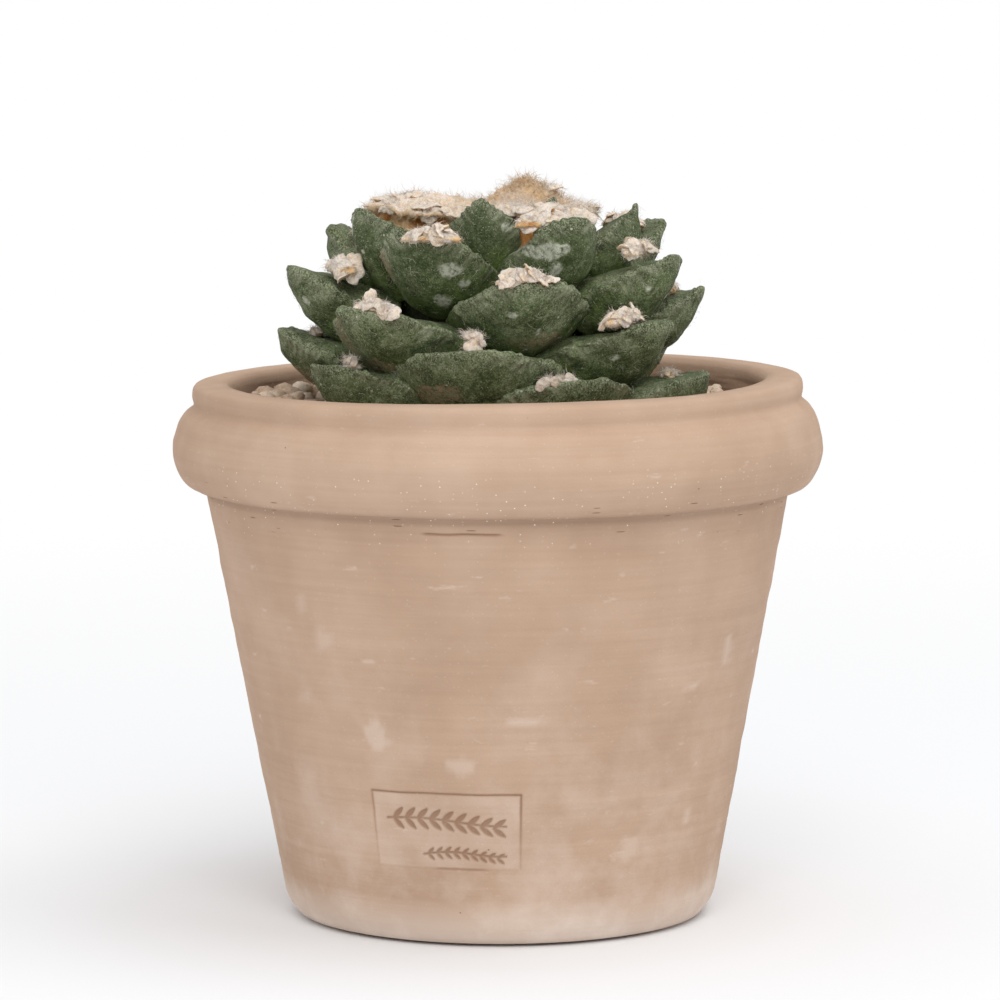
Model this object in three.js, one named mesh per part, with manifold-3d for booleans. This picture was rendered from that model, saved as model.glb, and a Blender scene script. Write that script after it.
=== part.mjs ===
// A living-rock cactus in a clay pot: a low, round rosette of thick triangular tubercles around a woolly crown,
// grown from a turnip-shaped stem that stands in soil under a dressing of pale gravel.
// Millimetres, +Z up. The origin is the middle of the pot's flat foot, where it rests on a table.
// A compass angle is 0 towards -Y, the front, and grows towards +X, the right.
import * as THREE from "three";
import { mergeVertices } from "three/addons/utils/BufferGeometryUtils.js";
import Module from "manifold-3d";

const wasm = await Module();
wasm.setup();

// ---- Driving dimensions ----
const CLEARANCE = 0.35; // the gap kept between any two touching pieces
const ROUND_SEGMENTS = 48; // facets round the pot, its soil and its gravel

const pot = {
  height: 150,
  lipRadius: 83.8,
  lipThickness: 9.8,
  lipHeight: 6.8, // from the rim down to the shallow groove
  grooveFlare: 1, // how far the groove stands out past the lip
  rollBulge: 6, // how far the rolled band stands out past the lip
  rollHeight: 23.7, // from the groove down to the roll's underside
  rollOverhang: 9, // how far the roll stands out past the wall below it
  footRadius: 57.5, // where the wall would meet the table with no rounding
  footRounding: 4.5,
  wallThickness: 9,
  floorThickness: 11,
  floorCorner: 6, // the rounding where the wall meets the floor inside
  mouthRounding: 3,
  drainRadius: 11,
};
const stamp = { width: 41, height: 21, depth: 0.5, middleHeight: 33, compass: -11 };
const gravel = { belowRim: 6.5, depth: 8, roughness: 1.1 };

const plant = {
  offsetX: -2.3, // the plant stands a little left of the pot's axis
  wateringGap: 12.5, // between the widest tips and the pot's mouth
  crownHeight: 52, // the young tips' height above the pot's rim
  dropPerTubercle: 2.65, // how much lower each older tip sits
  tubercleLength: 33,
  tubercleHalfWidth: 26,
  coreCover: 3, // how deep the tubercles' bases sink into the stem
  rootDepth: 96, // the root's end below the pot's rim
  youngest: -3,
  oldest: 27,
};
const DIVERGENCE = 137.508; // the golden angle between one tubercle and the next, in degrees
const FIRST_COMPASS = -5;

// How single tubercles stray from the pattern: compass degrees, tip radius, tip height and breadth.
const strays = new Map([
  [-3, [8, 4, 2, 1]],
  [-2, [0, 0, -0.5, 1]],
  [-1, [0, 0, 0, 1]],
  [0, [1, 2, -1, 1.35]],
  [2, [0, 4.5, -3, 1.15]],
  [3, [2, 3, -2.5, 1.15]],
  [5, [4, 2, -1, 1]],
  [6, [0, 0, -5, 1]],
  [7, [0, 3.5, -1.5, 1]],
  [8, [0, 0, 2, 1]],
  [10, [4, 4, -1.5, 1]],
  [11, [0, 3, -3.5, 1]],
  [13, [6, 0, 0, 1.05]],
  [15, [-4, 3, 0, 1]],
  [16, [10, 3, 0, 1]],
  [18, [11, 1, 0, 1.05]],
  [19, [10, 0, -1.7, 1]],
  [21, [8, 1, 2.5, 1.15]],
  [23, [-2, 3.5, -2, 1.05]],
  [24, [16, -1, 4.5, 1]],
  [26, [7, 1, 7, 1]],
]);

// The felted wool: tufts sit above these tubercles, and a dome fills the crown.
const wool = {
  firstTuft: 5,
  lastTuft: 25,
  tuftDepth: 5,
  tuftThickness: 3.6,
  tuftSetback: 11 / 41, // how far a tuft sits behind a grown tip, as a share of how far the tips spread
  crownShare: 64 / 123, // the dome's radius, as a share of how far the tips spread
  crownRise: 2, // the dome's top above the young tips
  crownFall: 12, // the dome's edge below the young tips
};

const colours = {
  clay: 0xc6a98d,
  soil: 0x5a4635,
  gravel: 0xc4ab92,
  skin: 0x46593a,
  stem: 0x6d6a45,
  wool: 0xe3cfae,
};

// ---- Sizes that follow from the driving ones ----
const mouthRadius = pot.lipRadius - pot.lipThickness;
const grooveRadius = pot.lipRadius + pot.grooveFlare;
const grooveHeight = pot.height - pot.lipHeight;
const rollRadius = pot.lipRadius + pot.rollBulge;
const rollBottom = grooveHeight - pot.rollHeight;
const rollWidest = rollBottom + 0.4 * pot.rollHeight;
const shoulderRadius = rollRadius - pot.rollOverhang;
const gravelHeight = pot.height - gravel.belowRim;
const crownHeight = pot.height + plant.crownHeight;
const tipSpread = mouthRadius - plant.wateringGap;
const crownRadius = wool.crownShare * tipSpread;
const tuftAlong = 1 - (wool.tuftSetback * tipSpread) / plant.tubercleLength;

// ---- Small helpers ----

/** A dull finish with a colour. */
function finish(colour, roughness) {
  return new THREE.MeshStandardMaterial({ color: colour, roughness, metalness: 0 });
}

/** A closed three.js geometry as a manifold-3d solid, with shared vertices merged and empty faces dropped. */
function solidOf(geometry) {
  const bare = geometry.clone();
  bare.deleteAttribute("normal");
  bare.deleteAttribute("uv");
  const merged = mergeVertices(bare, 1e-4);
  const corners = [];
  for (let i = 0; i < merged.index.count; i += 3) {
    const face = [merged.index.getX(i), merged.index.getX(i + 1), merged.index.getX(i + 2)];
    if (new Set(face).size === 3) corners.push(...face);
  }
  const vertProperties = new Float32Array(merged.attributes.position.array);
  const mesh = new wasm.Mesh({ numProp: 3, vertProperties, triVerts: new Uint32Array(corners) });
  return new wasm.Manifold(mesh);
}

/** The largest body of a manifold-3d solid, tidied of slivers, as a geometry. */
function geometryOf(solid) {
  const bodies = solid.simplify(0.01).decompose();
  const largest = bodies.reduce((a, b) => (b.volume() > a.volume() ? b : a));
  const mesh = largest.getMesh();
  return new THREE.BufferGeometry()
    .setAttribute("position", new THREE.BufferAttribute(mesh.vertProperties, 3))
    .setIndex(new THREE.BufferAttribute(mesh.triVerts, 1));
}

/** A solid of revolution about Z from points [radius, height] that go anticlockwise round its section. */
function turned(points, segments = ROUND_SEGMENTS) {
  const outline = points.map(([radius, height]) => new THREE.Vector2(radius, height));
  return new THREE.LatheGeometry(outline, segments).rotateX(Math.PI / 2);
}

/** Points on an elliptical arc of a section, both ends included, in degrees from the outward direction. */
function arc([radius, height], [across, up], from, to, steps) {
  return Array.from({ length: steps + 1 }, (_, i) => {
    const angle = THREE.MathUtils.degToRad(from + ((to - from) * i) / steps);
    return [radius + across * Math.cos(angle), height + up * Math.sin(angle)];
  });
}

/** A steady value between -1 and 1 for numbers a and b, the same at every run. */
function scatter(a, b) {
  const wave = Math.sin(a * 12.9898 + b * 78.233) * 43758.5453;
  return 2 * (wave - Math.floor(wave)) - 1;
}

/** The outside radius of the pot's wall, under the roll, at a height. */
function wallRadius(height) {
  return pot.footRadius + ((shoulderRadius - pot.footRadius) * height) / rollBottom;
}

/** The inside radius of the pot at a height: straight from the floor's corner to the mouth. */
function insideRadius(height) {
  const low = wallRadius(pot.floorThickness) - pot.wallThickness;
  const share = (height - pot.floorThickness) / (pot.height - pot.floorThickness);
  return low + (mouthRadius - low) * share;
}

// ---- Pot ----

/** The pot's turned body: foot, tapering wall, rolled band, groove, lip, inside and drain hole. */
function potBody() {
  const { footRounding: foot, mouthRounding: mouth, floorCorner: corner } = pot;
  const footCentre = [wallRadius(foot) - foot, foot];
  const lowerRoll = [rollRadius - shoulderRadius - 1, rollWidest - rollBottom];
  const upperRoll = [rollRadius - grooveRadius, grooveHeight - rollWidest];
  const mouthCentre = [mouthRadius + mouth, pot.height - mouth];
  const cornerCentre = [insideRadius(pot.floorThickness + corner) - corner, pot.floorThickness + corner];
  const outline = [
    [pot.drainRadius, 0],
    ...arc(footCentre, [foot, foot], -90, -11, 3),
    [shoulderRadius, rollBottom + 0.5],
    ...arc([shoulderRadius + 1, rollWidest], lowerRoll, -90, 0, 4),
    ...arc([grooveRadius, rollWidest], upperRoll, 22, 78, 3),
    [grooveRadius, grooveHeight],
    [pot.lipRadius, pot.height - 2],
    [pot.lipRadius - 2, pot.height],
    ...arc(mouthCentre, [mouth, mouth], 90, 180, 2),
    ...arc(cornerCentre, [corner, corner], 0, -90, 2),
    [pot.drainRadius, pot.floorThickness],
  ];
  outline.push(outline[0]);
  return solidOf(turned(outline));
}

/** A block that presses the stamp's shallow rectangle into the front of the wall. */
function stampTool() {
  const reach = 10;
  const lean = Math.atan2(shoulderRadius - pot.footRadius, rollBottom);
  const face = wallRadius(stamp.middleHeight);
  const bow = face - Math.sqrt(face ** 2 - (stamp.width / 2) ** 2);
  const block = new THREE.BoxGeometry(stamp.width, reach, stamp.height);
  block.translate(0, -reach / 2 + stamp.depth + bow, 0);
  block.rotateX(lean);
  block.translate(0, -face, stamp.middleHeight);
  block.rotateZ(THREE.MathUtils.degToRad(stamp.compass));
  return solidOf(block);
}

// ---- Plant ----

/**
 * Where tubercle k grows, with its middle line, axes and sizes. Tubercles are numbered outwards in the order
 * of their age; each one turns by the golden angle, reaches further out, sits lower and lies flatter.
 */
function tubercleFrame(k, [turn, outward, upward, breadth] = [0, 0, 0, 1]) {
  const age = Math.max(k, 0);
  const compass = THREE.MathUtils.degToRad(FIRST_COMPASS - DIVERGENCE * k + turn);
  const tipRadius = tipSpread * (1 - Math.exp(-(k + 5) / 7.2)) + outward;
  const tipHeight = crownHeight - plant.dropPerTubercle * (Math.hypot(age, 5) - 5) + upward;
  const pitch = THREE.MathUtils.degToRad(14 + 40 * Math.exp(-age / 7));
  const youth = k < 0 ? [0.8, 0.6] : [1, 1];
  const length = plant.tubercleLength * (1 - Math.exp(-(age + 8) / 7)) * youth[0];
  const radial = new THREE.Vector3(Math.sin(compass), -Math.cos(compass), 0);
  const up = new THREE.Vector3(0, 0, 1);
  const forward = radial.clone().multiplyScalar(Math.cos(pitch)).addScaledVector(up, Math.sin(pitch));
  const side = new THREE.Vector3().crossVectors(up, radial);
  const above = new THREE.Vector3().crossVectors(forward, side);
  const tip = radial.clone().multiplyScalar(tipRadius).setZ(tipHeight);
  tip.x += plant.offsetX;
  return {
    base: tip.clone().addScaledVector(forward, -length),
    baseRadius: tipRadius - length * Math.cos(pitch),
    forward,
    side,
    above,
    length,
    halfWidth: plant.tubercleHalfWidth * (1 - Math.exp(-(age + 5) / 12.5)) * youth[1] * breadth,
    topThickness: length * 0.29,
    keelThickness: length * 0.4,
    upturn: length * 0.08,
  };
}

/** A point on a tubercle: along runs 0 to 1 from base to tip, around runs 0 to 1 from one margin over the top. */
function tuberclePoint(frame, along, around, grow = 0) {
  const angle = 2 * Math.PI * around;
  const root = 0.8 + 0.2 * Math.sin((Math.PI / 2) * Math.min(along / 0.4, 1));
  const plan = root * (1 - along ** 2.3) ** 0.72;
  const across = (frame.halfWidth * plan + grow) * Math.cos(angle);
  const belly = 1 - Math.abs(Math.cos(angle)) ** 2.4;
  const top = (frame.topThickness * (1 - along) ** 0.9 + grow) * belly;
  const keel = (frame.keelThickness * (1 - along ** 2.2) ** 0.75 + grow) * belly;
  const lift = Math.sin(angle) >= 0 ? top : -keel;
  return frame.base
    .clone()
    .addScaledVector(frame.forward, (frame.length + grow) * along)
    .addScaledVector(frame.side, across)
    .addScaledVector(frame.above, lift + frame.upturn * along ** 2);
}

/** Tubercle k as a closed solid: rings of points from the base to the tip, and a point that closes each end. */
function tubercleSolid(k, grow = 0) {
  const frame = tubercleFrame(k, strays.get(k));
  const rings = 5;
  const sides = k < 0 ? 8 : 10;
  const points = [tuberclePoint(frame, 0, 0.25).lerp(tuberclePoint(frame, 0, 0.75), 0.5)];
  for (let ring = 0; ring < rings; ring += 1) {
    const along = 0.97 * Math.sin(((Math.PI / 2) * ring) / (rings - 0.6));
    for (let i = 0; i < sides; i += 1) points.push(tuberclePoint(frame, along, i / sides, grow));
  }
  points.push(tuberclePoint(frame, 1, 0).addScaledVector(frame.forward, grow));
  const last = points.length - 1;
  const at = (ring, i) => 1 + ring * sides + (i % sides);
  const faces = [];
  for (let i = 0; i < sides; i += 1) {
    faces.push(0, at(0, i + 1), at(0, i));
    for (let ring = 0; ring < rings - 1; ring += 1) {
      faces.push(at(ring, i), at(ring + 1, i + 1), at(ring + 1, i));
      faces.push(at(ring, i), at(ring, i + 1), at(ring + 1, i + 1));
    }
    faces.push(at(rings - 1, i), at(rings - 1, i + 1), last);
  }
  return solidOf(new THREE.BufferGeometry().setFromPoints(points).setIndex(faces));
}

/**
 * The stem and its turnip root, swollen by grow on every side. The stem's side passes just outside the bases
 * of the tubercles, so that each of them starts inside it; below the oldest one the root narrows to its end.
 */
function stemSolid(grow = 0) {
  const crown = tubercleFrame(0);
  const stations = [0, 2, 5, 9, 14, 20, 27].map((k) => tubercleFrame(k));
  const lowest = stations.at(-1);
  const rootTop = lowest.base.z - 10;
  const rootEnd = pot.height - plant.rootDepth;
  const side = stations.map((frame) => [frame.baseRadius + plant.coreCover, frame.base.z]);
  const root = [0, 0.18, 0.42, 0.7, 0.93].map((share) => [
    (lowest.baseRadius + plant.coreCover) * (1 - share ** 1.2) ** 0.9,
    rootTop + (rootEnd - rootTop) * share,
  ]);
  const outline = [
    [0, crown.base.z + 2.5 + grow],
    [crown.baseRadius * 0.6, crown.base.z + 3.5 + grow],
    ...[...side, ...root].map(([radius, height]) => [radius + grow, height]),
    [0, rootEnd - grow],
  ];
  return solidOf(turned(outline.reverse(), 24).translate(plant.offsetX, 0, 0));
}

/** A lump of felted wool in the angle above tubercle k, resting on its upper face. */
function axilTuft(k) {
  const frame = tubercleFrame(k, strays.get(k));
  const width = frame.halfWidth * (0.4 + 0.08 * scatter(k, 1));
  const centre = tuberclePoint(frame, tuftAlong + 0.06 * scatter(k, 2), 0.25);
  const lump = new THREE.SphereGeometry(1, 8, 5);
  lump.scale(width, wool.tuftDepth, wool.tuftThickness);
  const turn = new THREE.Matrix4().makeBasis(frame.side, frame.forward.clone().negate(), frame.above);
  lump.applyMatrix4(turn);
  lump.translate(centre.x, centre.y, centre.z + 1.5);
  return solidOf(lump);
}

/** The dome of wool that fills the crown between the youngest tubercles, swollen by grow on every side. */
function crownWool(grow = 0) {
  const radius = crownRadius + grow;
  const top = crownHeight + wool.crownRise + grow;
  const edge = crownHeight - wool.crownFall;
  const floor = edge - 10 - grow;
  const outline = [
    [0, floor],
    [radius * 0.8, floor],
    [radius, edge],
    [radius * 0.85, edge + 0.43 * (top - edge)],
    [radius * 0.5, edge + 0.88 * (top - edge)],
    [0, top],
  ];
  return solidOf(turned(outline, 24).translate(plant.offsetX, 0, 0));
}

// ---- Soil and gravel ----

/** The plug of soil, from the pot's floor to the underside of the gravel. */
function soilPlug() {
  const bottom = pot.floorThickness + CLEARANCE;
  const surface = gravelHeight - gravel.depth;
  const inside = (height) => insideRadius(height) - CLEARANCE;
  const outline = [
    [0, bottom],
    [inside(bottom) - pot.floorCorner, bottom],
    [inside(bottom + pot.floorCorner), bottom + pot.floorCorner],
    [inside(surface), surface],
    [0, surface],
  ];
  return solidOf(turned(outline));
}

/** The gravel dressing, one layer whose upper face rises and falls with its stones. */
function gravelLayer() {
  const bottom = gravelHeight - gravel.depth + CLEARANCE;
  const inside = (height) => insideRadius(height) - CLEARANCE;
  const tops = [1, 0.87, 0.74, 0.6, 0.45].map((share) => [inside(gravelHeight) * share, gravelHeight]);
  const geometry = turned([[0, bottom], [inside(bottom), bottom], ...tops, [0, gravelHeight]]);
  const position = geometry.attributes.position;
  for (let i = 0; i < position.count; i += 1) {
    const [x, y, z] = [position.getX(i), position.getY(i), position.getZ(i)];
    const isStony = z > bottom + 1 && Math.hypot(x, y) > 1;
    if (isStony) position.setZ(i, z + gravel.roughness * scatter(Math.round(x * 3), Math.round(y * 3)));
  }
  return solidOf(geometry);
}

// ---- Assembly ----

const group = new THREE.Group();

/** Adds one named piece to the group. */
function add(name, solid, colour, roughness) {
  const mesh = new THREE.Mesh(geometryOf(solid), finish(colour, roughness));
  mesh.name = name;
  group.add(mesh);
}

/** The name of the piece of a kind that belongs to tubercle k; the youngest tubercle is number 01. */
function numbered(kind, k) {
  return `${kind}_${String(k - plant.youngest + 1).padStart(2, "0")}`;
}

const ages = Array.from({ length: plant.oldest - plant.youngest + 1 }, (_, i) => plant.youngest + i);
const grownStem = stemSolid(CLEARANCE);
const grownTubercles = new Map(ages.map((k) => [k, tubercleSolid(k, CLEARANCE)]));

/** A solid less the grown stem and the grown tubercles of some ages. */
function fitted(solid, neighbours) {
  return neighbours.reduce((rest, k) => rest.subtract(grownTubercles.get(k)), solid.subtract(grownStem));
}

add("pot", potBody().subtract(stampTool()), colours.clay, 0.92);
add("stem_and_root", stemSolid(), colours.stem, 0.8);

for (const k of ages) {
  const younger = ages.filter((other) => other < k);
  add(numbered("tubercle", k), fitted(tubercleSolid(k), younger), colours.skin, 0.75);
}

add("soil", fitted(soilPlug(), ages), colours.soil, 1);
add("gravel", fitted(gravelLayer(), ages), colours.gravel, 0.95);
add("crown_wool", fitted(crownWool(), ages), colours.wool, 1);

const grownCrown = crownWool(CLEARANCE);
for (const k of ages) {
  if (k < wool.firstTuft || k > wool.lastTuft) continue;
  add(numbered("axil_wool", k), fitted(axilTuft(k), ages).subtract(grownCrown), colours.wool, 1);
}

export default group;
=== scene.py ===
"""The looks of a living-rock cactus in a thrown clay pot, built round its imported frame.

Sizes are in millimetres until a mesh is made, then in metres, with +Z up. A compass angle is 0 towards -Y, the
front, and grows towards +X, the right.
"""

import logging
import math
from dataclasses import dataclass, field
from enum import Enum

import bpy
import numpy as np
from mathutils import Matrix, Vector


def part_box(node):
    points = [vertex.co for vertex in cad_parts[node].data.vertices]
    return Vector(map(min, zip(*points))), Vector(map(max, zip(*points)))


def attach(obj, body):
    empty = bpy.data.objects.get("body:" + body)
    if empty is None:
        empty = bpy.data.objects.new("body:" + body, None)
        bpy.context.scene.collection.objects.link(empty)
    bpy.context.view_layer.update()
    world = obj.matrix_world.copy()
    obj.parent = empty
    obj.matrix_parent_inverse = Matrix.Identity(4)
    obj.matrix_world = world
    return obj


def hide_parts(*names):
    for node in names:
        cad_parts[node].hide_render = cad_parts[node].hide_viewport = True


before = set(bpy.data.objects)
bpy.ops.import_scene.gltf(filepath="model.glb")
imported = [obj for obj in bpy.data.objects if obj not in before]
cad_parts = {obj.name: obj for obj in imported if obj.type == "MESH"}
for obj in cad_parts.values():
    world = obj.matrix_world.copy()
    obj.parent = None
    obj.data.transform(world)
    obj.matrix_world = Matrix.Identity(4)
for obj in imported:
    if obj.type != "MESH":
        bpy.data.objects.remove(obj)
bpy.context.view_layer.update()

MM = 0.001
BODY = "root"
UP = np.array([0.0, 0.0, 1.0])
Array = np.ndarray
Random = np.random.Generator
Socket = bpy.types.NodeSocket
Material = bpy.types.Material
logging.basicConfig(level=logging.INFO, format="%(message)s")
log = logging.getLogger("cactus")


# ---- Helpers: colours, nodes, random fields ----


def linear(colour: str) -> tuple[float, float, float, float]:
    """Turns an sRGB hex colour into linear light.

    Args:
        colour: Six hex digits after a "#".

    Returns:
        Red, green, blue and an alpha of 1.
    """
    shares = [int(colour[i : i + 2], 16) / 255 for i in (1, 3, 5)]
    bent = [c / 12.92 if c <= 0.04045 else ((c + 0.055) / 1.055) ** 2.4 for c in shares]
    return (*bent, 1.0)


def per_mm(size: float) -> float:
    """The texture scale, in cells per metre, that gives a pattern cells of a size in millimetres."""
    return 1 / (size * MM)


def add_node(
    tree: bpy.types.NodeTree,
    kind: str,
    settings: dict | None = None,
    links: dict | None = None,
) -> bpy.types.Node:
    """Adds one shader node with its settings and the sockets that feed it.

    Args:
        tree: The tree that gets the node.
        kind: The node's type without "ShaderNode".
        settings: Attributes by name, inputs by name or number, and a "ramp" as (place, hex colour) stops.
        links: Output sockets by the name or number of the input that they feed.

    Returns:
        The new node.
    """
    node = tree.nodes.new(f"ShaderNode{kind}")
    for key, value in (settings or {}).items():
        if key == "ramp":
            stops = node.color_ramp.elements
            while len(stops) < len(value):
                stops.new(1.0)
            for stop, (place, colour) in zip(stops, value):
                stop.position = place
                stop.color = linear(colour)
        elif isinstance(key, str) and hasattr(node, key):
            setattr(node, key, value)
        else:
            node.inputs[key].default_value = value
    for key, socket in (links or {}).items():
        tree.links.new(socket, node.inputs[key])
    return node


def noise(points: Array, size: float | tuple, seed: int, octaves: int = 1) -> Array:
    """Smooth random values on a lattice: eight hashed corner values blended by 3t^2 - 2t^3 along each axis.

    Args:
        points: Points in millimetres, in rows of three, with any number of leading axes.
        size: The cell's size in millimetres, one number or one for each axis.
        seed: Chooses the pattern.
        octaves: How many layers, each half as large and half as strong as the one before.

    Returns:
        Values between about -1 and 1, one for each point.
    """
    total = np.zeros(points.shape[:-1])
    for octave in range(octaves):
        cell = points / np.asarray(size, float) * 2**octave + 31.7 * (seed + octave)
        low = np.floor(cell).astype(np.int64)
        part = cell - low
        part = part * part * (3 - 2 * part)
        for corner in np.ndindex(2, 2, 2):
            key = low + np.array(corner)
            mixed = key[..., 0] * 73856093 ^ key[..., 1] * 19349663 ^ key[..., 2] * 83492791
            mixed = (mixed ^ (seed + octave) * 668265263) & 0xFFFFFFFF
            mixed = ((mixed ^ mixed >> 15) * 2246822519) & 0xFFFFFFFF
            mixed = ((mixed ^ mixed >> 13) * 3266489917) & 0xFFFFFFFF
            value = (mixed ^ mixed >> 16) / 2147483647.5 - 1
            total += value * np.prod(np.where(corner, part, 1 - part), axis=-1) * 0.5**octave
    return total


def smooth_step(values: Array, low: float, high: float) -> Array:
    """Rises smoothly from 0 at low to 1 at high, or falls where low is above high."""
    share = np.clip((values - low) / (high - low), 0, 1)
    return share * share * (3 - 2 * share)


def unit(vectors: Array) -> Array:
    """Vectors with their lengths set to 1."""
    return vectors / np.maximum(np.linalg.norm(vectors, axis=-1, keepdims=True), 1e-9)


# ---- Surfaces ----


@dataclass
class Surface:
    """Points in millimetres with three- and four-cornered faces and named values at each point."""

    points: Array
    quads: Array = field(default_factory=lambda: np.zeros((0, 4), int))
    triangles: Array = field(default_factory=lambda: np.zeros((0, 3), int))
    values: dict[str, Array] = field(default_factory=dict)

    def volume(self) -> float:
        """The signed volume: a sixth of the sum of each triangle's a . (b x c)."""
        halves = [self.triangles, self.quads[:, [0, 1, 2]], self.quads[:, [0, 2, 3]]]
        a, b, c = np.moveaxis(self.points[np.concatenate(halves)], 1, 0)
        return float(np.einsum("ij,ij->i", a, np.cross(b, c)).sum() / 6)

    def outward(self) -> "Surface":
        """The same closed surface with its faces turned outwards."""
        if self.volume() < 0:
            self.quads = self.quads[:, ::-1]
            self.triangles = self.triangles[:, ::-1]
        return self

    @staticmethod
    def joined(parts: list["Surface"]) -> "Surface":
        """One surface from several; a value that a part lacks is 0 there."""
        counts = [len(part.points) for part in parts]
        starts = np.cumsum([0, *counts[:-1]])
        names = sorted({name for part in parts for name in part.values})
        return Surface(
            np.concatenate([part.points for part in parts]),
            np.concatenate([part.quads + start for part, start in zip(parts, starts)]),
            np.concatenate([part.triangles + start for part, start in zip(parts, starts)]),
            {
                name: np.concatenate([p.values.get(name, np.zeros(n)) for p, n in zip(parts, counts)])
                for name in names
            },
        )

    @staticmethod
    def rings(grid: Array, closed_rows: bool = False) -> "Surface":
        """A skin over rows of closed rings, capped by a point in the middle of each end ring.

        Args:
            grid: Points by row, column and axis.
            closed_rows: Whether the last row joins the first; then there are no caps.

        Returns:
            The closed surface, its end points last.
        """
        rows, columns = grid.shape[:2]
        row = np.arange(rows if closed_rows else rows - 1)[:, None]
        here = np.arange(columns)[None, :]
        beside = (here + 1) % columns
        below = (row + 1) % rows
        upper, lower = row * columns, below * columns
        corners = [upper + here, upper + beside, lower + beside, lower + here]
        quads = np.stack(np.broadcast_arrays(*corners), axis=-1).reshape(-1, 4)
        points = grid.reshape(-1, 3)
        if closed_rows:
            return Surface(points, quads).outward()
        poles = np.stack([grid[0].mean(0), grid[-1].mean(0)])
        here, beside = here[0], beside[0]
        last = (rows - 1) * columns
        first_fan = np.stack([beside, here, np.full(columns, len(points))], axis=-1)
        last_fan = np.stack([last + here, last + beside, np.full(columns, len(points) + 1)], axis=-1)
        fans = np.concatenate([first_fan, last_fan])
        return Surface(np.concatenate([points, poles]), quads, fans).outward()


def swept(radius: Array | float, turn: Array, height: Array | float, middle: float = 0.0) -> Array:
    """Points round an upright axis at x = middle: x = middle + r sin(turn), y = -r cos(turn), z = height."""
    x, y = middle + radius * np.sin(turn), -radius * np.cos(turn)
    return np.stack(np.broadcast_arrays(x, y, height), axis=-1)


def grid_normals(grid: Array) -> Array:
    """Unit normals of a grid of rings: the cross product of its central differences, turned off its middle."""
    along = np.gradient(grid, axis=0)
    around = np.roll(grid, -1, axis=1) - np.roll(grid, 1, axis=1)
    normals = unit(np.cross(along, around))
    middle = grid.mean(axis=1, keepdims=True)
    flip = np.sign(np.sum(normals * (grid - middle)))
    return normals * flip


def fibres(
    roots: Array,
    courses: Array,
    lengths: Array,
    radius: Array | float,
    curl: float,
    random: Random,
    rings: int = 4,
) -> Surface:
    """Thin three-sided tubes that taper to a point, along a course that bends aside with t^2.

    Args:
        roots: Where each fibre starts.
        courses: Each fibre's unit direction.
        lengths: Each fibre's length.
        radius: The radius at the root, one for all or one for each.
        curl: How far a tip bends sideways, as a share of the length.
        random: Draws the bends.
        rings: Rings of points before the tip.

    Returns:
        All fibres as one surface; each is closed.
    """
    count = len(roots)
    aside = unit(np.cross(courses, random.normal(size=(count, 3))))[:, None]
    across = np.cross(courses, aside[:, 0])[:, None]
    share = (np.arange(rings + 1) / rings)[None, :, None]
    reach = lengths[:, None, None]
    sway = aside * share**2 + across * 0.5 * np.sin(4 * share) * share
    centres = roots[:, None] + (courses[:, None] * share + sway * curl) * reach
    turn = np.arange(3) * 2 * np.pi / 3
    ring = aside * np.cos(turn)[None, :, None] + across * np.sin(turn)[None, :, None]
    thick = np.broadcast_to(radius, count)[:, None, None, None] * (1 - 0.75 * share[:, :rings, :, None])
    tube = centres[:, :rings, None] + ring[:, None] * thick
    points = np.concatenate([tube.reshape(count, -1, 3), centres[:, rings:]], axis=1)
    faces = [[2, 1, 0]]
    for row in range(rings - 1):
        for side in range(3):
            a, b = 3 * row + side, 3 * row + (side + 1) % 3
            faces += [[a, b, b + 3], [a, b + 3, a + 3]]
    last = 3 * (rings - 1)
    faces += [[last + side, last + (side + 1) % 3, 3 * rings] for side in range(3)]
    stride = 3 * rings + 1
    triangles = np.array(faces)[None] + (np.arange(count) * stride)[:, None, None]
    return Surface(points.reshape(-1, 3), triangles=triangles.reshape(-1, 3)).outward()


def warm_hairs(
    roots: Array,
    courses: Array,
    lengths: Array,
    radii: Array,
    curl: float,
    warmth: Array,
    spread: float,
    random: Random,
) -> Surface:
    """Fibres of wool, each of one warmth.

    Args:
        roots: Where each fibre starts.
        courses: Each fibre's unit direction.
        lengths: Each fibre's length.
        radii: Each fibre's radius at its root.
        curl: How far a tip bends sideways, as a share of the length.
        warmth: How warm the wool is where each fibre starts.
        spread: How much the fibres differ from that.
        random: Draws the bends and the differences.

    Returns:
        The fibres, with a value for warmth.
    """
    hairs = fibres(roots, courses, lengths, radii, curl, random)
    shade = np.clip(warmth + random.normal(0, spread, len(roots)), 0, 1)
    hairs.values = {"warmth": np.repeat(shade, len(hairs.points) // len(roots))}
    return hairs


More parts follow.
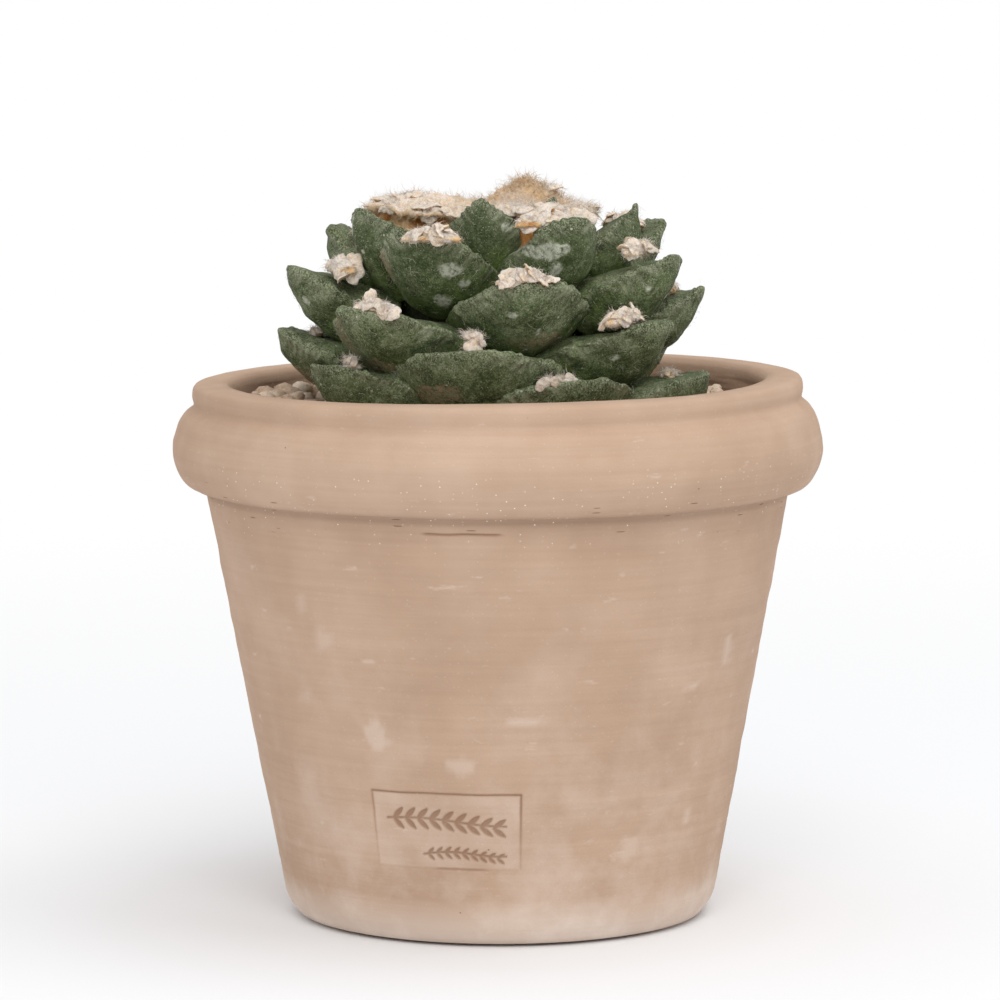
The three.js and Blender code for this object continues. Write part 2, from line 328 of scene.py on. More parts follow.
def place(name: str, surface: Surface, material: Material, slot: str, stands_for: list[str]) -> None:
    """Makes one finished piece: its mesh in metres, with its values as attributes, hung on the body, and its
    CAD nodes hidden.

    Args:
        name: The piece's name.
        surface: Its closed surface in millimetres.
        material: Its finish.
        slot: The record's material slot; not used.
        stands_for: The CAD nodes that it replaces.
    """
    mesh = bpy.data.meshes.new(name)
    mesh.vertices.add(len(surface.points))
    mesh.vertices.foreach_set("co", (surface.points * MM).astype(np.float32).ravel())
    corners = np.concatenate([surface.quads.ravel(), surface.triangles.ravel()])
    sizes = np.repeat([4, 3], [len(surface.quads), len(surface.triangles)])
    mesh.loops.add(len(corners))
    mesh.loops.foreach_set("vertex_index", corners.astype(np.int32))
    mesh.polygons.add(len(sizes))
    mesh.polygons.foreach_set("loop_start", np.cumsum([0, *sizes[:-1]]).astype(np.int32))
    mesh.update(calc_edges=True)
    mesh.validate()
    mesh.polygons.foreach_set("use_smooth", np.ones(len(mesh.polygons), bool))
    for key, values in surface.values.items():
        attribute = mesh.attributes.new(key, "FLOAT", "POINT")
        attribute.data.foreach_set("value", values.astype(np.float32))
    mesh.materials.append(material)
    piece = bpy.data.objects.new(name, mesh)
    bpy.context.scene.collection.objects.link(piece)
    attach(piece, BODY)
    if stands_for:
        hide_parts(*stands_for)
    log.info("%s: %d triangles", name, 2 * len(surface.quads) + len(surface.triangles))


# ---- Finishes ----


class Finish:
    """A procedural material in the making: its tree, its shader and the patterns that most finishes share."""

    def __init__(self, name: str, roughness: float, specular: float) -> None:
        """Starts a material.

        Args:
            name: The material's name.
            roughness: The shader's roughness, the same all over.
            specular: The shader's specular level.
        """
        self.material = bpy.data.materials.new(name)
        self.material.use_nodes = True
        self.tree = self.material.node_tree
        self.shader = self.tree.nodes["Principled BSDF"]
        self.shader.inputs["Roughness"].default_value = roughness
        self.shader.inputs["Specular IOR Level"].default_value = specular
        self.where = self.add("TexCoord").outputs["Object"]

    def add(self, kind: str, settings: dict | None = None, links: dict | None = None) -> bpy.types.Node:
        """Adds a node to this material's tree."""
        return add_node(self.tree, kind, settings, links)

    def mix(self, share: Socket, under: Socket | str, over: Socket | str, blend: str = "MIX") -> Socket:
        """Lays one colour over another.

        Args:
            share: How much of the upper colour shows.
            under: The lower colour, a socket or a hex value.
            over: The upper colour, a socket or a hex value.
            blend: Blender's name for the way the two combine.

        Returns:
            The mixed colour.
        """
        settings = {"data_type": "RGBA", "blend_type": blend}
        links = {0: share}
        for number, colour in ((6, under), (7, over)):
            if isinstance(colour, str):
                settings[number] = linear(colour)
            else:
                links[number] = colour
        return self.add("Mix", settings, links).outputs[2]

    def value(self, name: str) -> Socket:
        """A value that the mesh holds at each point."""
        return self.add("Attribute", {"attribute_name": name}).outputs["Fac"]

    def maths(self, operation: str, first: Socket, second: Socket | float) -> Socket:
        """Combines two values; the result is kept between 0 and 1."""
        is_number = isinstance(second, (int, float))
        settings = {"operation": operation, "use_clamp": True} | ({1: second} if is_number else {})
        return self.add("Math", settings, {0: first} | ({} if is_number else {1: second})).outputs[0]

    def total(self, *parts: tuple[Socket, float]) -> Socket:
        """The sum of several values, each times its own number."""
        result = self.maths("MULTIPLY", *parts[0])
        for part in parts[1:]:
            result = self.maths("ADD", result, self.maths("MULTIPLY", *part))
        return result

    def cover(self, under: Socket, over: str, value: Socket, factor: Socket | float) -> Socket:
        """Lays a colour over another as much as a value times a factor says."""
        return self.mix(self.maths("MULTIPLY", value, factor), under, over)

    def stretched(self, stretch: tuple | None) -> Socket:
        """The place on the piece, stretched by three factors if they are given."""
        if stretch is None:
            return self.where
        return self.add("Mapping", {"Scale": tuple(1 / s for s in stretch)}, {"Vector": self.where}).outputs[0]

    def cloud(self, size: float, detail: float = 2, stretch: tuple | None = None) -> Socket:
        """Noise with cells of a size in millimetres."""
        settings = {"Scale": per_mm(size), "Detail": detail, "Roughness": 0.6}
        return self.add("TexNoise", settings, {"Vector": self.stretched(stretch)}).outputs["Fac"]

    def above(self, socket: Socket, low: float, high: float) -> Socket:
        """Rises from 0 to 1 as a value goes from low to high."""
        return self.add("MapRange", {1: low, 2: high}, {0: socket}).outputs[0]

    def dots(self, size: float, radius: float, share: float, stretch: tuple | None = None) -> Socket:
        """Separate dots: round cells of which only some are filled.

        Args:
            size: The mean distance between cells in millimetres.
            radius: The dot's radius in millimetres.
            share: The share of the cells that hold a dot.
            stretch: Factors that lengthen the dots along the axes.

        Returns:
            1 in a dot and 0 elsewhere.
        """
        cells = self.add("TexVoronoi", {"Scale": per_mm(size)}, {"Vector": self.stretched(stretch)})
        inside = self.above(cells.outputs["Distance"], radius / size, 0.7 * radius / size)
        chosen = self.add("SeparateColor", links={0: cells.outputs["Color"]}).outputs[0]
        return self.maths("MULTIPLY", inside, self.maths("GREATER_THAN", chosen, 1 - share))

    def done(self, colour: Socket, reliefs: list[tuple[Socket, float]]) -> Material:
        """Ends the material.

        Args:
            colour: The base colour.
            reliefs: Height values with the height of each in millimetres.

        Returns:
            The material.
        """
        self.tree.links.new(colour, self.shader.inputs["Base Color"])
        normal = None
        for height, depth in reliefs:
            links = {"Height": height} | ({"Normal": normal} if normal else {})
            normal = self.add("Bump", {"Strength": 1.0, "Distance": depth * MM}, links).outputs[0]
        if normal:
            self.tree.links.new(normal, self.shader.inputs["Normal"])
        return self.material


@dataclass(frozen=True)
class ThrownClay:
    """Earthenware, thrown on a wheel and fired unglazed: dull and dry, ringed by the fingers that raised it,
    with grog that shows as pale grit and pits, and lime that blooms on the lower wall."""

    dark: str = "#ad907a"
    body: str = "#bb9e87"
    light: str = "#c9ad97"
    bloom_and_bounce_light: str = "#e0d0c3"
    recess_shade_colour: str = "#80593c"
    painted_shade: str = "#6f5847"
    grit: str = "#eadfd2"

    def material(self) -> Material:
        """The finish of the pot."""
        clay = Finish("unglazed_thrown_earthenware", 0.9, 0.25)
        bands = clay.cloud(1, 4, stretch=(60, 60, 1.6))
        wide = clay.cloud(34, 3)
        tone = clay.total((bands, 0.28), (wide, 0.72))
        ramp = {"ramp": [(0.2, self.dark), (0.5, self.body), (0.8, self.light)]}
        colour = clay.add("ValToRGB", ramp, {0: tone}).outputs[0]
        height = clay.add("SeparateXYZ", links={0: clay.where}).outputs[2]
        # Lime blooms in patches over the lower 90 mm of the wall, more of them lower down. Heights are in
        # metres.
        low = clay.above(height, 0.09, 0.004)
        patches = clay.above(clay.cloud(24, 5), 0.46, 0.7)
        share = clay.maths("MULTIPLY", patches, clay.maths("ADD", clay.maths("MULTIPLY", low, 0.4), 0.08))
        # A band at the foot, below about 14 mm, is lightened with painted bounce light from the floor.
        share = clay.maths("ADD", share, clay.maths("MULTIPLY", clay.above(height, 0.014, 0.003), 0.7))
        colour = clay.mix(share, colour, self.bloom_and_bounce_light)
        scuffs = clay.above(clay.cloud(1, 3, stretch=(9, 9, 3.4)), 0.66, 0.76)
        colour = clay.cover(colour, self.bloom_and_bounce_light, scuffs, 0.35)
        # The inside of the pot is darkened in patches with painted shade.
        inner = clay.value("inside")
        shade_patches = clay.above(clay.cloud(1, 4, stretch=(30, 30, 2.5)), 0.25, 0.7)
        colour = clay.cover(colour, self.painted_shade, inner, shade_patches)
        # Painted shade darkens the crease where the band meets the wall.
        crease = clay.maths("MULTIPLY", clay.above(height, 0.1172, 0.1188), clay.above(height, 0.1212, 0.1196))
        colour = clay.cover(colour, self.painted_shade, crease, 0.3)
        colour = clay.cover(colour, self.bloom_and_bounce_light, clay.value("rubbed"), 0.75)
        # Painted shade darkens the stamp's grooves and the crack.
        colour = clay.cover(colour, self.recess_shade_colour, clay.value("press"), 0.85)
        # Grog is mostly finer than this; it is as coarse as it needs to be to show.
        grit = clay.dots(1.25, 0.24, 0.34)
        clusters = clay.above(clay.cloud(1, 2, stretch=(12, 12, 4)), 0.44, 0.6)
        gritty = clay.maths("ADD", clay.maths("MULTIPLY", clay.value("gritty"), clusters), 0.13)
        colour = clay.cover(colour, self.grit, grit, gritty)
        # Pits are darkened with painted shade.
        pits = clay.dots(8.0, 0.27, 0.4)
        colour = clay.cover(colour, self.recess_shade_colour, pits, 0.6)
        # Ticks, short grooves on the band, are darkened with painted shade.
        ticks = clay.dots(1.1, 0.24, 0.09, stretch=(6, 6, 0.6))
        ticks = clay.maths("MULTIPLY", ticks, clay.value("ticked"))
        colour = clay.cover(colour, self.recess_shade_colour, ticks, 0.7)
        grain = clay.cloud(0.7, 3)
        return clay.done(colour, [(bands, 0.12), (grain, 0.1), (pits, -0.15), (ticks, -0.15)])


@dataclass(frozen=True)
class CactusSkin:
    """The waxy, scaly skin of a living-rock cactus: dull grey-green, mossy green where it is sheltered,
    peppered with white specks, pale where margins are worn, and corky brown where it has aged."""

    deep: str = "#343f25"
    body: str = "#5b6645"
    dusty: str = "#838a6e"
    moss: str = "#5f7430"
    upper_tone: str = "#3a4529"
    shaded: str = "#1d1a12"
    pale: str = "#a6a890"
    cork: str = "#8d7c64"
    scar: str = "#c3c5b4"
    speck: str = "#cfd0bb"
    bark: bool = False

    def material(self) -> Material:
        """The finish of the tubercles, or of the stem where it is bark."""
        skin = Finish("shaded_stem_bark" if self.bark else "waxy_cactus_skin", 0.7, 0.14)
        blotch = skin.cloud(7, 4)
        fine = skin.cloud(1.3, 3)
        grain = skin.cloud(0.42, 2)  # Pores of about 0.1 mm, as coarse as they need to be to show.
        tone = skin.total((blotch, 0.34), (fine, 0.28), (grain, 0.38))
        ramp = {"ramp": [(0.42, self.deep), (0.51, self.body), (0.6, self.dusty)]}
        colour = skin.add("ValToRGB", ramp, {0: tone}).outputs[0]
        if self.bark:
            # The stem under the tubercles is painted near black with painted shade.
            shaded = {"ramp": [(0.35, self.shaded), (0.75, self.deep)]}
            return skin.done(skin.add("ValToRGB", shaded, {0: fine}).outputs[0], [(grain, 0.2)])
        # Darker towards the top of the plant, from 176 mm up. Heights are in metres.
        height = skin.add("SeparateXYZ", links={0: skin.where}).outputs[2]
        colour = skin.cover(colour, self.upper_tone, skin.above(height, 0.176, 0.196), 0.5)
        mossy = skin.maths("MULTIPLY", skin.value("moss"), skin.above(skin.cloud(3.5, 4), 0.36, 0.66))
        colour = skin.cover(colour, self.moss, mossy, 0.65)
        scurf = skin.maths("MULTIPLY", skin.value("scurf"), skin.above(skin.cloud(0.5, 3), 0.46, 0.64))
        colour = skin.cover(colour, self.pale, scurf, 0.7)
        colour = skin.cover(colour, self.pale, skin.value("streak"), 0.7)
        corky = skin.maths("MULTIPLY", skin.value("cork"), skin.above(skin.cloud(1.2, 4), 0.4, 0.6))
        colour = skin.cover(colour, self.cork, corky, 0.9)
        specks = skin.dots(0.7, 0.19, 0.5)
        specks = skin.maths("MULTIPLY", specks, skin.above(skin.cloud(4, 3), 0.34, 0.6))
        colour = skin.cover(colour, self.speck, specks, 0.5)
        flakes = skin.dots(3.4, 0.42, 0.25)
        colour = skin.cover(colour, self.speck, flakes, 0.55)
        scarred = skin.maths("MULTIPLY", skin.value("scar"), skin.above(skin.cloud(1.1, 3), 0.3, 0.55))
        colour = skin.mix(scarred, colour, self.scar)
        return skin.done(colour, [(fine, 0.45), (grain, 0.25), (specks, 0.1)])


@dataclass(frozen=True)
class PlantWool:
    """The felted hair of a cactus, shed and weathered: soft, matt and fibrous, cream where it is bleached,
    golden within and rusty where it is fresh."""

    bleached: str = "#ece1d5"
    golden: str = "#dcbd90"
    rusty: str = "#bd7f3a"
    dried: str = "#6b5d50"

    def material(self) -> Material:
        """The finish of the crown's wool and the tufts."""
        wool = Finish("felted_cactus_wool", 0.95, 0.1)
        # Light goes 1 to 2 mm deep into the felt, and the loose hairs on it catch light at its edges.
        wool.shader.inputs["Subsurface Weight"].default_value = 0.35
        wool.shader.inputs["Subsurface Radius"].default_value = (0.0016, 0.0012, 0.0008)
        wool.shader.inputs["Subsurface Scale"].default_value = 1.0
        wool.shader.inputs["Sheen Weight"].default_value = 0.3
        wool.shader.inputs["Sheen Roughness"].default_value = 0.5
        tufts = wool.cloud(2.4, 4)
        threads = wool.cloud(0.45, 3)
        loose = wool.maths("MULTIPLY", wool.above(tufts, 0.25, 0.75), 0.3)
        warmth = wool.maths("ADD", wool.value("warmth"), wool.maths("SUBTRACT", loose, 0.15))
        ramp = {"ramp": [(0.0, self.bleached), (0.4, self.golden), (0.85, self.rusty)]}
        colour = wool.add("ValToRGB", ramp, {0: warmth}).outputs[0]
        shade = wool.maths("MULTIPLY", wool.above(threads, 0.56, 0.36), 0.35)
        colour = wool.mix(shade, colour, self.rusty, "MULTIPLY")
        # The dark colour marks dried scraps, and painted shade in the tufts' gaps.
        colour = wool.mix(wool.value("dried"), colour, self.dried)
        return wool.done(colour, [(tufts, 0.5), (threads, 0.3)])


@dataclass(frozen=True)
class PumiceGravel:
    """Crushed pumice, tumbled and dusty: pale, porous and quite dull, each stone of its own tone."""

    dark: str = "#a88e78"
    body: str = "#cdb59f"
    light: str = "#e6d6c4"

    def material(self) -> Material:
        """The finish of the stones."""
        stone = Finish("tumbled_pumice", 0.95, 0.15)
        mottle = stone.cloud(2.2, 4)
        tone = stone.total((mottle, 0.6), (stone.value("tone"), 0.4))
        ramp = {"ramp": [(0.25, self.dark), (0.5, self.body), (0.75, self.light)]}
        colour = stone.add("ValToRGB", ramp, {0: tone}).outputs[0]
        # Pores are darkened with painted shade.
        pores = stone.dots(0.9, 0.25, 0.5)
        colour = stone.cover(colour, self.dark, pores, 0.45)
        return stone.done(colour, [(mottle, 0.5), (pores, -0.25)])


@dataclass(frozen=True)
class PottingSoil:
    """Damp mineral potting soil: dark, crumbly and dull."""

    dark: str = "#33271d"
    light: str = "#6d5845"

    def material(self) -> Material:
        """The finish of the soil."""
        soil = Finish("crumbly_potting_soil", 1.0, 0.1)
        crumbs = soil.cloud(1.8, 5)
        ramp = {"ramp": [(0.35, self.dark), (0.7, self.light)]}
        colour = soil.add("ValToRGB", ramp, {0: crumbs}).outputs[0]
        return soil.done(colour, [(crumbs, 1.0)])


# ---- Pot ----


def evened(density: Array, places: Array) -> Array:
    """Places spread so that the spacing at each is 1 / density: equal steps of the density's running sum."""
    total = np.concatenate([[0], np.cumsum((density[1:] + density[:-1]) / 2 * np.diff(places))])
    count = int(math.ceil(total[-1]))
    return np.interp(np.arange(count) / count * total[-1], total, places)


# Pale rubbed places on the pot's wall: compass angle, height, half width, half height and strength.
SMUDGES = [
    (-28.0, 58.9, 3.4, 4.4, 0.5),
    (-8.6, 51.3, 4.0, 2.2, 0.45),
    (6.0, 63.8, 6.5, 0.5, 0.5),
    (47.0, 71.0, 2.4, 0.6, 0.5),
    (58.0, 79.0, 2.6, 4.0, 0.45),
    (52.0, 33.0, 1.6, 2.2, 0.45),
    (-44.0, 94.0, 1.2, 2.4, 0.3),
    (-39.0, 85.0, 2.6, 3.2, 0.3),
    (-46.0, 68.0, 3.2, 2.8, 0.25),
    (34.0, 26.0, 3.4, 3.8, 0.3),
]


@dataclass
class Pot:
    """The thrown clay pot: a tapering wall, a rolled band, a groove, a lip, and a pressed stamp in front."""

    foot: float = 59.1
    shoulder: float = 81.35
    roll_bottom: float = 120.0
    mouth: float = 74.0
    stamp_compass: float = -12.9
    stamp_height: float = 33.0
    stamp_half: tuple[float, float] = (20.5, 10.5)
    crack_height: float = 115.6
    rim_tilt: float = 1.1
    foot_shift: float = 0.8
    wall_depth: float = 3.0

    def wall(self, height: Array | float) -> Array | float:
        """The outside radius at a height: straight from the foot to the shoulder."""
        return self.foot + (self.shoulder - self.foot) * height / self.roll_bottom

    def section(self) -> Array:
        """The closed section [radius, height]: up the wall, over the roll and the lip, back by the hole.

        Returns:
            Points after corner cutting: twice, each side keeps only its points at 1/4 and 3/4.
        """
        wall = [(self.wall(z), z) for z in (5.5, 9, 20, 50, 80, 105, 114, 117.5)]
        roll = [(81.2, 119.2), (82.0, 119.85), (84.3, 120.1), (86.0, 120.7), (87.5, 122.0), (88.8, 124.0)]
        roll += [(89.8, 126.2), (90.4, 128.3), (90.65, 130.4), (90.6, 132.6), (90.25, 134.6), (89.7, 136.4)]
        roll += [(89.1, 138.1), (88.4, 139.7), (87.5, 141.1), (86.4, 142.3), (85.2, 143.1), (84.5, 143.9)]
        lip = [(84.55, 144.8), (84.9, 146.2), (84.9, 147.8), (84.7, 148.9), (84.2, 149.7), (83.2, 150.05)]
        lip += [(79, 150.05), (75.2, 150), (74.5, 149.85), (74.15, 149.5), (self.mouth, 148.8)]
        lip += [(self.mouth - 0.3, 145), (self.mouth - 1.7, 138)]
        inside = [(66.5, 105), (59, 60), (51.9, 19), (50.4, 14.5), (46.5, 11.2), (42, 11)]
        inside += [(13.5, 11), (11.7, 10.6)]
        hole = [(11, 9.6), (11, 1.4), (11.6, 0.3), (13, 0), (53.5, 0), (56.6, 0.7), (58, 2.4)]
        points = np.array([*wall, *roll, *lip, *inside, *hole])
        for _ in range(2):
            following = np.roll(points, -1, axis=0)
            points = np.stack([0.75 * points + 0.25 * following, 0.25 * points + 0.75 * following], axis=1)
            points = points.reshape(-1, 2)
        return points

    def rows(self) -> Array:
        """The section's points: 0.32 mm apart at the stamp and the crack, 0.8 mm on the roll, else wider."""
        section = self.section()
        closed = np.concatenate([section, section[:1]])
        run = np.concatenate([[0], np.cumsum(np.linalg.norm(np.diff(closed, axis=0), axis=1))])
        places = np.arange(0, run[-1], 0.1)
        radius, height = (np.interp(places, run, closed[:, i]) for i in (0, 1))
        outer = radius > self.wall(height) - self.wall_depth
        spacing = np.where(outer, 1.7, 5.0)
        spacing[outer & (height > 118)] = 0.8
        spacing[~outer & (height > 120)] = 2.4
        spacing[outer & (abs(height - self.stamp_height) < self.stamp_half[1] + 2)] = 0.32
        spacing[outer & (abs(height - self.crack_height) < 1)] = 0.32
        chosen = evened(1 / spacing, places)
        return np.stack([np.interp(chosen, places, radius), np.interp(chosen, places, height)], axis=1)

    def columns(self) -> Array:
        """Compass angles in radians, 0.3 mm apart across the stamp and 2.1 degrees apart elsewhere."""
        angles = np.radians(np.arange(0, 360.01, 0.1) + self.stamp_compass - 180)
        off = abs(angles - math.radians(self.stamp_compass)) * self.wall(self.stamp_height)
        dense = smooth_step(off, self.stamp_half[0] + 5, self.stamp_half[0] + 1.5)
        spacing = math.radians(2.1) * (1 - dense) + 0.3 / self.wall(self.stamp_height) * dense
        return evened(1 / spacing, angles)

    def sprigs(self) -> Array:
        """The stamp's motif, two leafy sprigs, as strokes [x1, y1, x2, y2, half width, is leaf]."""
        strokes = []
        leaves = 9
        for start, end, size in (((-16.5, 3.0), (16.5, 2.2), 4.0), ((-6.5, -6.6), (16.5, -6.2), 2.3)):
            start, end = np.array(start, float), np.array(end, float)
            share = np.linspace(0, 1, 13)[:, None]
            stem = start + (end - start) * share + np.array([0, 0.7]) * np.sin(share * 5)
            strokes += [[*a, *b, 0.22, 0] for a, b in zip(stem[:-1], stem[1:])]
            for i in range(leaves):
                foot = stem[0] + (stem[-1] - stem[0]) * (i + 0.5) / (leaves + 0.5)
                foot[1] += 0.7 * math.sin(5 * (i + 0.5) / (leaves + 0.5))
                for side in (1, -1):
                    lean = math.radians(side * (46 - 1.2 * i))
                    tip = foot + size * np.array([math.cos(lean), math.sin(lean)])
                    strokes.append([*foot, *tip, 0.11 * size + 0.05, 1])
        return np.array(strokes)

    def stamp_depths(self, across: Array, up: Array) -> tuple[Array, Array]:
        """How deep the stamp presses into the wall.

        The border is a groove along a rectangle's outline, deep above and on the right, and faint below. The
        motif's strokes are grooves as well, a leaf's widest in its middle.

        Args:
            across: Millimetres to the right of the stamp's middle, along the wall.
            up: Millimetres above it.

        Returns:
            The depths in millimetres, and how much painted shade darkens each point, from 0 to 1.
        """
        half_width, half_height = self.stamp_half
        flat = np.stack([across, up, np.zeros_like(up)], axis=-1)
        side = np.abs(across) - half_width
        rise = np.abs(up + 0.3 * noise(flat, 7, 71)) - half_height
        nearer = np.maximum(side, rise)
        edge = np.where(nearer > 0, np.hypot(np.maximum(side, 0), np.maximum(rise, 0)), -nearer)
        on_side = side > rise
        fade_up = smooth_step(up, -12, 9)
        strength = np.where(on_side, np.where(across > 0, 0.25 + 0.75 * fade_up, 0.1 + 0.6 * fade_up), 0.0)
        low_dash = 0.12 + 0.6 * smooth_step(abs(across - 4), 9, 5)
        strength = np.where(~on_side, np.where(up > 0, 1.0, low_dash), strength)
        border = np.exp(-((edge / 0.3) ** 2)) * strength
        within = smooth_step(nearer, 0.2, -0.7) * (0.35 + 0.65 * fade_up)
        strokes = self.sprigs()
        a, b = strokes[:, 0:2], strokes[:, 2:4]
        spot = np.stack([across, up], axis=-1)[:, None]
        share = np.sum((spot - a) * (b - a), axis=-1) / np.sum((b - a) ** 2, axis=-1)
        share = np.clip(share, 0, 1)
        gap = np.linalg.norm(spot - a - (b - a) * share[..., None], axis=-1)
        width = strokes[:, 4] * np.where(strokes[:, 5] > 0, 0.35 + np.sin(np.pi * share) ** 0.8, 1)
        stroke = smooth_step(gap - width, 0.3, -0.15).max(axis=1)
        return 0.5 * border + 0.28 * within + 0.42 * stroke, np.clip(0.85 * border + 0.75 * stroke, 0, 1)

    def surface(self) -> Surface:
        """The pot's skin: its section swept round the axis, then moved along its normals by what clay does.

        Throwing lines are noise that is long around and short in height, the wobble is wide noise, and the
        stamp and the crack are grooves. The rim leans a little towards -X, and the foot stands a little to +X.

        Returns:
            The closed surface with values for the inside, the painted shade of grooves, rubbed clay, grit and
            ticks.
        """
        rows, columns = self.rows(), self.columns()
        radius, height = rows[:, :1], rows[:, 1:]
        sweep = swept(radius, columns, height)
        slope = unit(np.roll(rows, -1, axis=0) - np.roll(rows, 1, axis=0))
        normals = swept(slope[:, 1:], columns, -slope[:, :1])
        outer = (radius > self.wall(height) - self.wall_depth) & (height > self.wall_depth)
        lines = 0.1 * noise(sweep, (70, 70, 1.6), 5) + 0.13 * noise(sweep, (90, 90, 4.5), 6)
        wobble = 0.35 * noise(sweep, 55, 7) + 0.08 * noise(sweep, 9, 8, 2)
        calm = smooth_step(height, 1, 8)
        push = (lines * (0.4 + 0.6 * outer) + wobble) * calm
        arc = (columns - math.radians(self.stamp_compass)) * self.wall(self.stamp_height)
        across, up = np.broadcast_arrays(arc[None, :], height - self.stamp_height)
        near = (abs(across) < self.stamp_half[0] + 4) & (abs(up) < self.stamp_half[1] + 4) & outer
        # The stamp's grooves are darkened with painted shade.
        depth, groove_shade = self.stamp_depths(across[near], up[near])
        press = np.zeros(push.shape)
        push[near] -= depth
        press[near] = groove_shade
        inset = np.maximum(abs(across) - self.stamp_half[0], abs(up) - self.stamp_half[1])
        rubbed = (0.22 + 0.2 * noise(sweep, 6, 14)) * smooth_step(inset, 0.1, -0.8) * outer
        for compass, level, half_width, half_height, strength in SMUDGES:
            aside = (columns - math.radians(compass)) * self.wall(level)
            gap = np.hypot(aside / half_width, (height - level) / half_height)
            gap = gap + 0.45 * noise(sweep, (4, 4, 2), 10, 3)
            rubbed = np.maximum(rubbed, strength * smooth_step(gap, 1.2, 0.6) * outer)
        front = columns * self.wall(self.crack_height)
        crack_line = self.crack_height + 0.25 * noise(sweep, (6, 6, 50), 9)
        crack = np.exp(-(((height - crack_line) / 0.3) ** 2)) * smooth_step(abs(front + 9.5), 12, 9) * outer
        push -= 0.4 * crack
        # The crack's groove is darkened with painted shade.
        press = np.maximum(press, 0.9 * crack)
        sweep = sweep + normals * push[..., None]
        sweep[..., 2] += self.rim_tilt * sweep[..., 0] / self.shoulder * smooth_step(height, 124, 147)
        sweep[..., 0] += self.foot_shift * smooth_step(height, 130, -20)
        inside = smooth_step(radius - self.wall(height), -6.2, -8.5) * smooth_step(height, 149.5, 146)
        gritty = smooth_step(height, 108, 116) * smooth_step(height, 136, 126) * outer
        ticked = smooth_step(height, 110, 118) * smooth_step(height, 128, 122) * outer
        values = {"inside": inside, "press": press, "rubbed": rubbed, "gritty": gritty, "ticked": ticked}
        skin = Surface.rings(sweep, closed_rows=True)
        skin.values = {key: np.broadcast_to(value, push.shape).ravel() for key, value in values.items()}
        return skin

    def build(self) -> None:
        """Makes the pot's piece."""
        place("clay_pot", self.surface(), ThrownClay().material(), "terracotta", ["pot"])


# ---- Tubercles ----


@dataclass
class Patch:
    """A mark on a tubercle's front: how far right of and below the tip, its half width and half height."""

    across: float
    below: float
    half_width: float
    half_height: float


# Chalky scars by the tubercle's number.
SCARS = {
    7: [Patch(-3.5, 5, 1.4, 2.6), Patch(1, 12, 0.7, 0.7)],
    9: [Patch(-7.5, 9, 4.2, 2.2), Patch(-5, 14, 1.1, 1.8)],
    12: [Patch(9, 11, 2.4, 2.0), Patch(11, 15, 1.1, 1.0), Patch(4, 20, 1.7, 1.8)],
    15: [Patch(6, 9, 0.9, 0.9)],
    17: [Patch(-6, 9, 1.2, 0.8), Patch(2, 14, 0.8, 0.8)],
    14: [Patch(3, 12, 1.0, 0.8), Patch(-8, 9, 1.0, 0.8)],
    22: [Patch(-9, 9, 0.8, 0.8)],
    4: [Patch(7, 8, 1.3, 1.2)],
}
# Brown, corky patches by the tubercle's number.
CORKS = {
    20: [Patch(-12, 9, 4, 7), Patch(-3, 17, 10, 3)],
    22: [Patch(11, 9, 5, 5), Patch(-2, 19, 9, 2)],
    25: [Patch(-9, 13, 8, 3)],
    12: [Patch(-13, 11, 4, 5)],
    17: [Patch(4, 17, 9, 2.5)],
    23: [Patch(0, 14, 12, 4)],
}


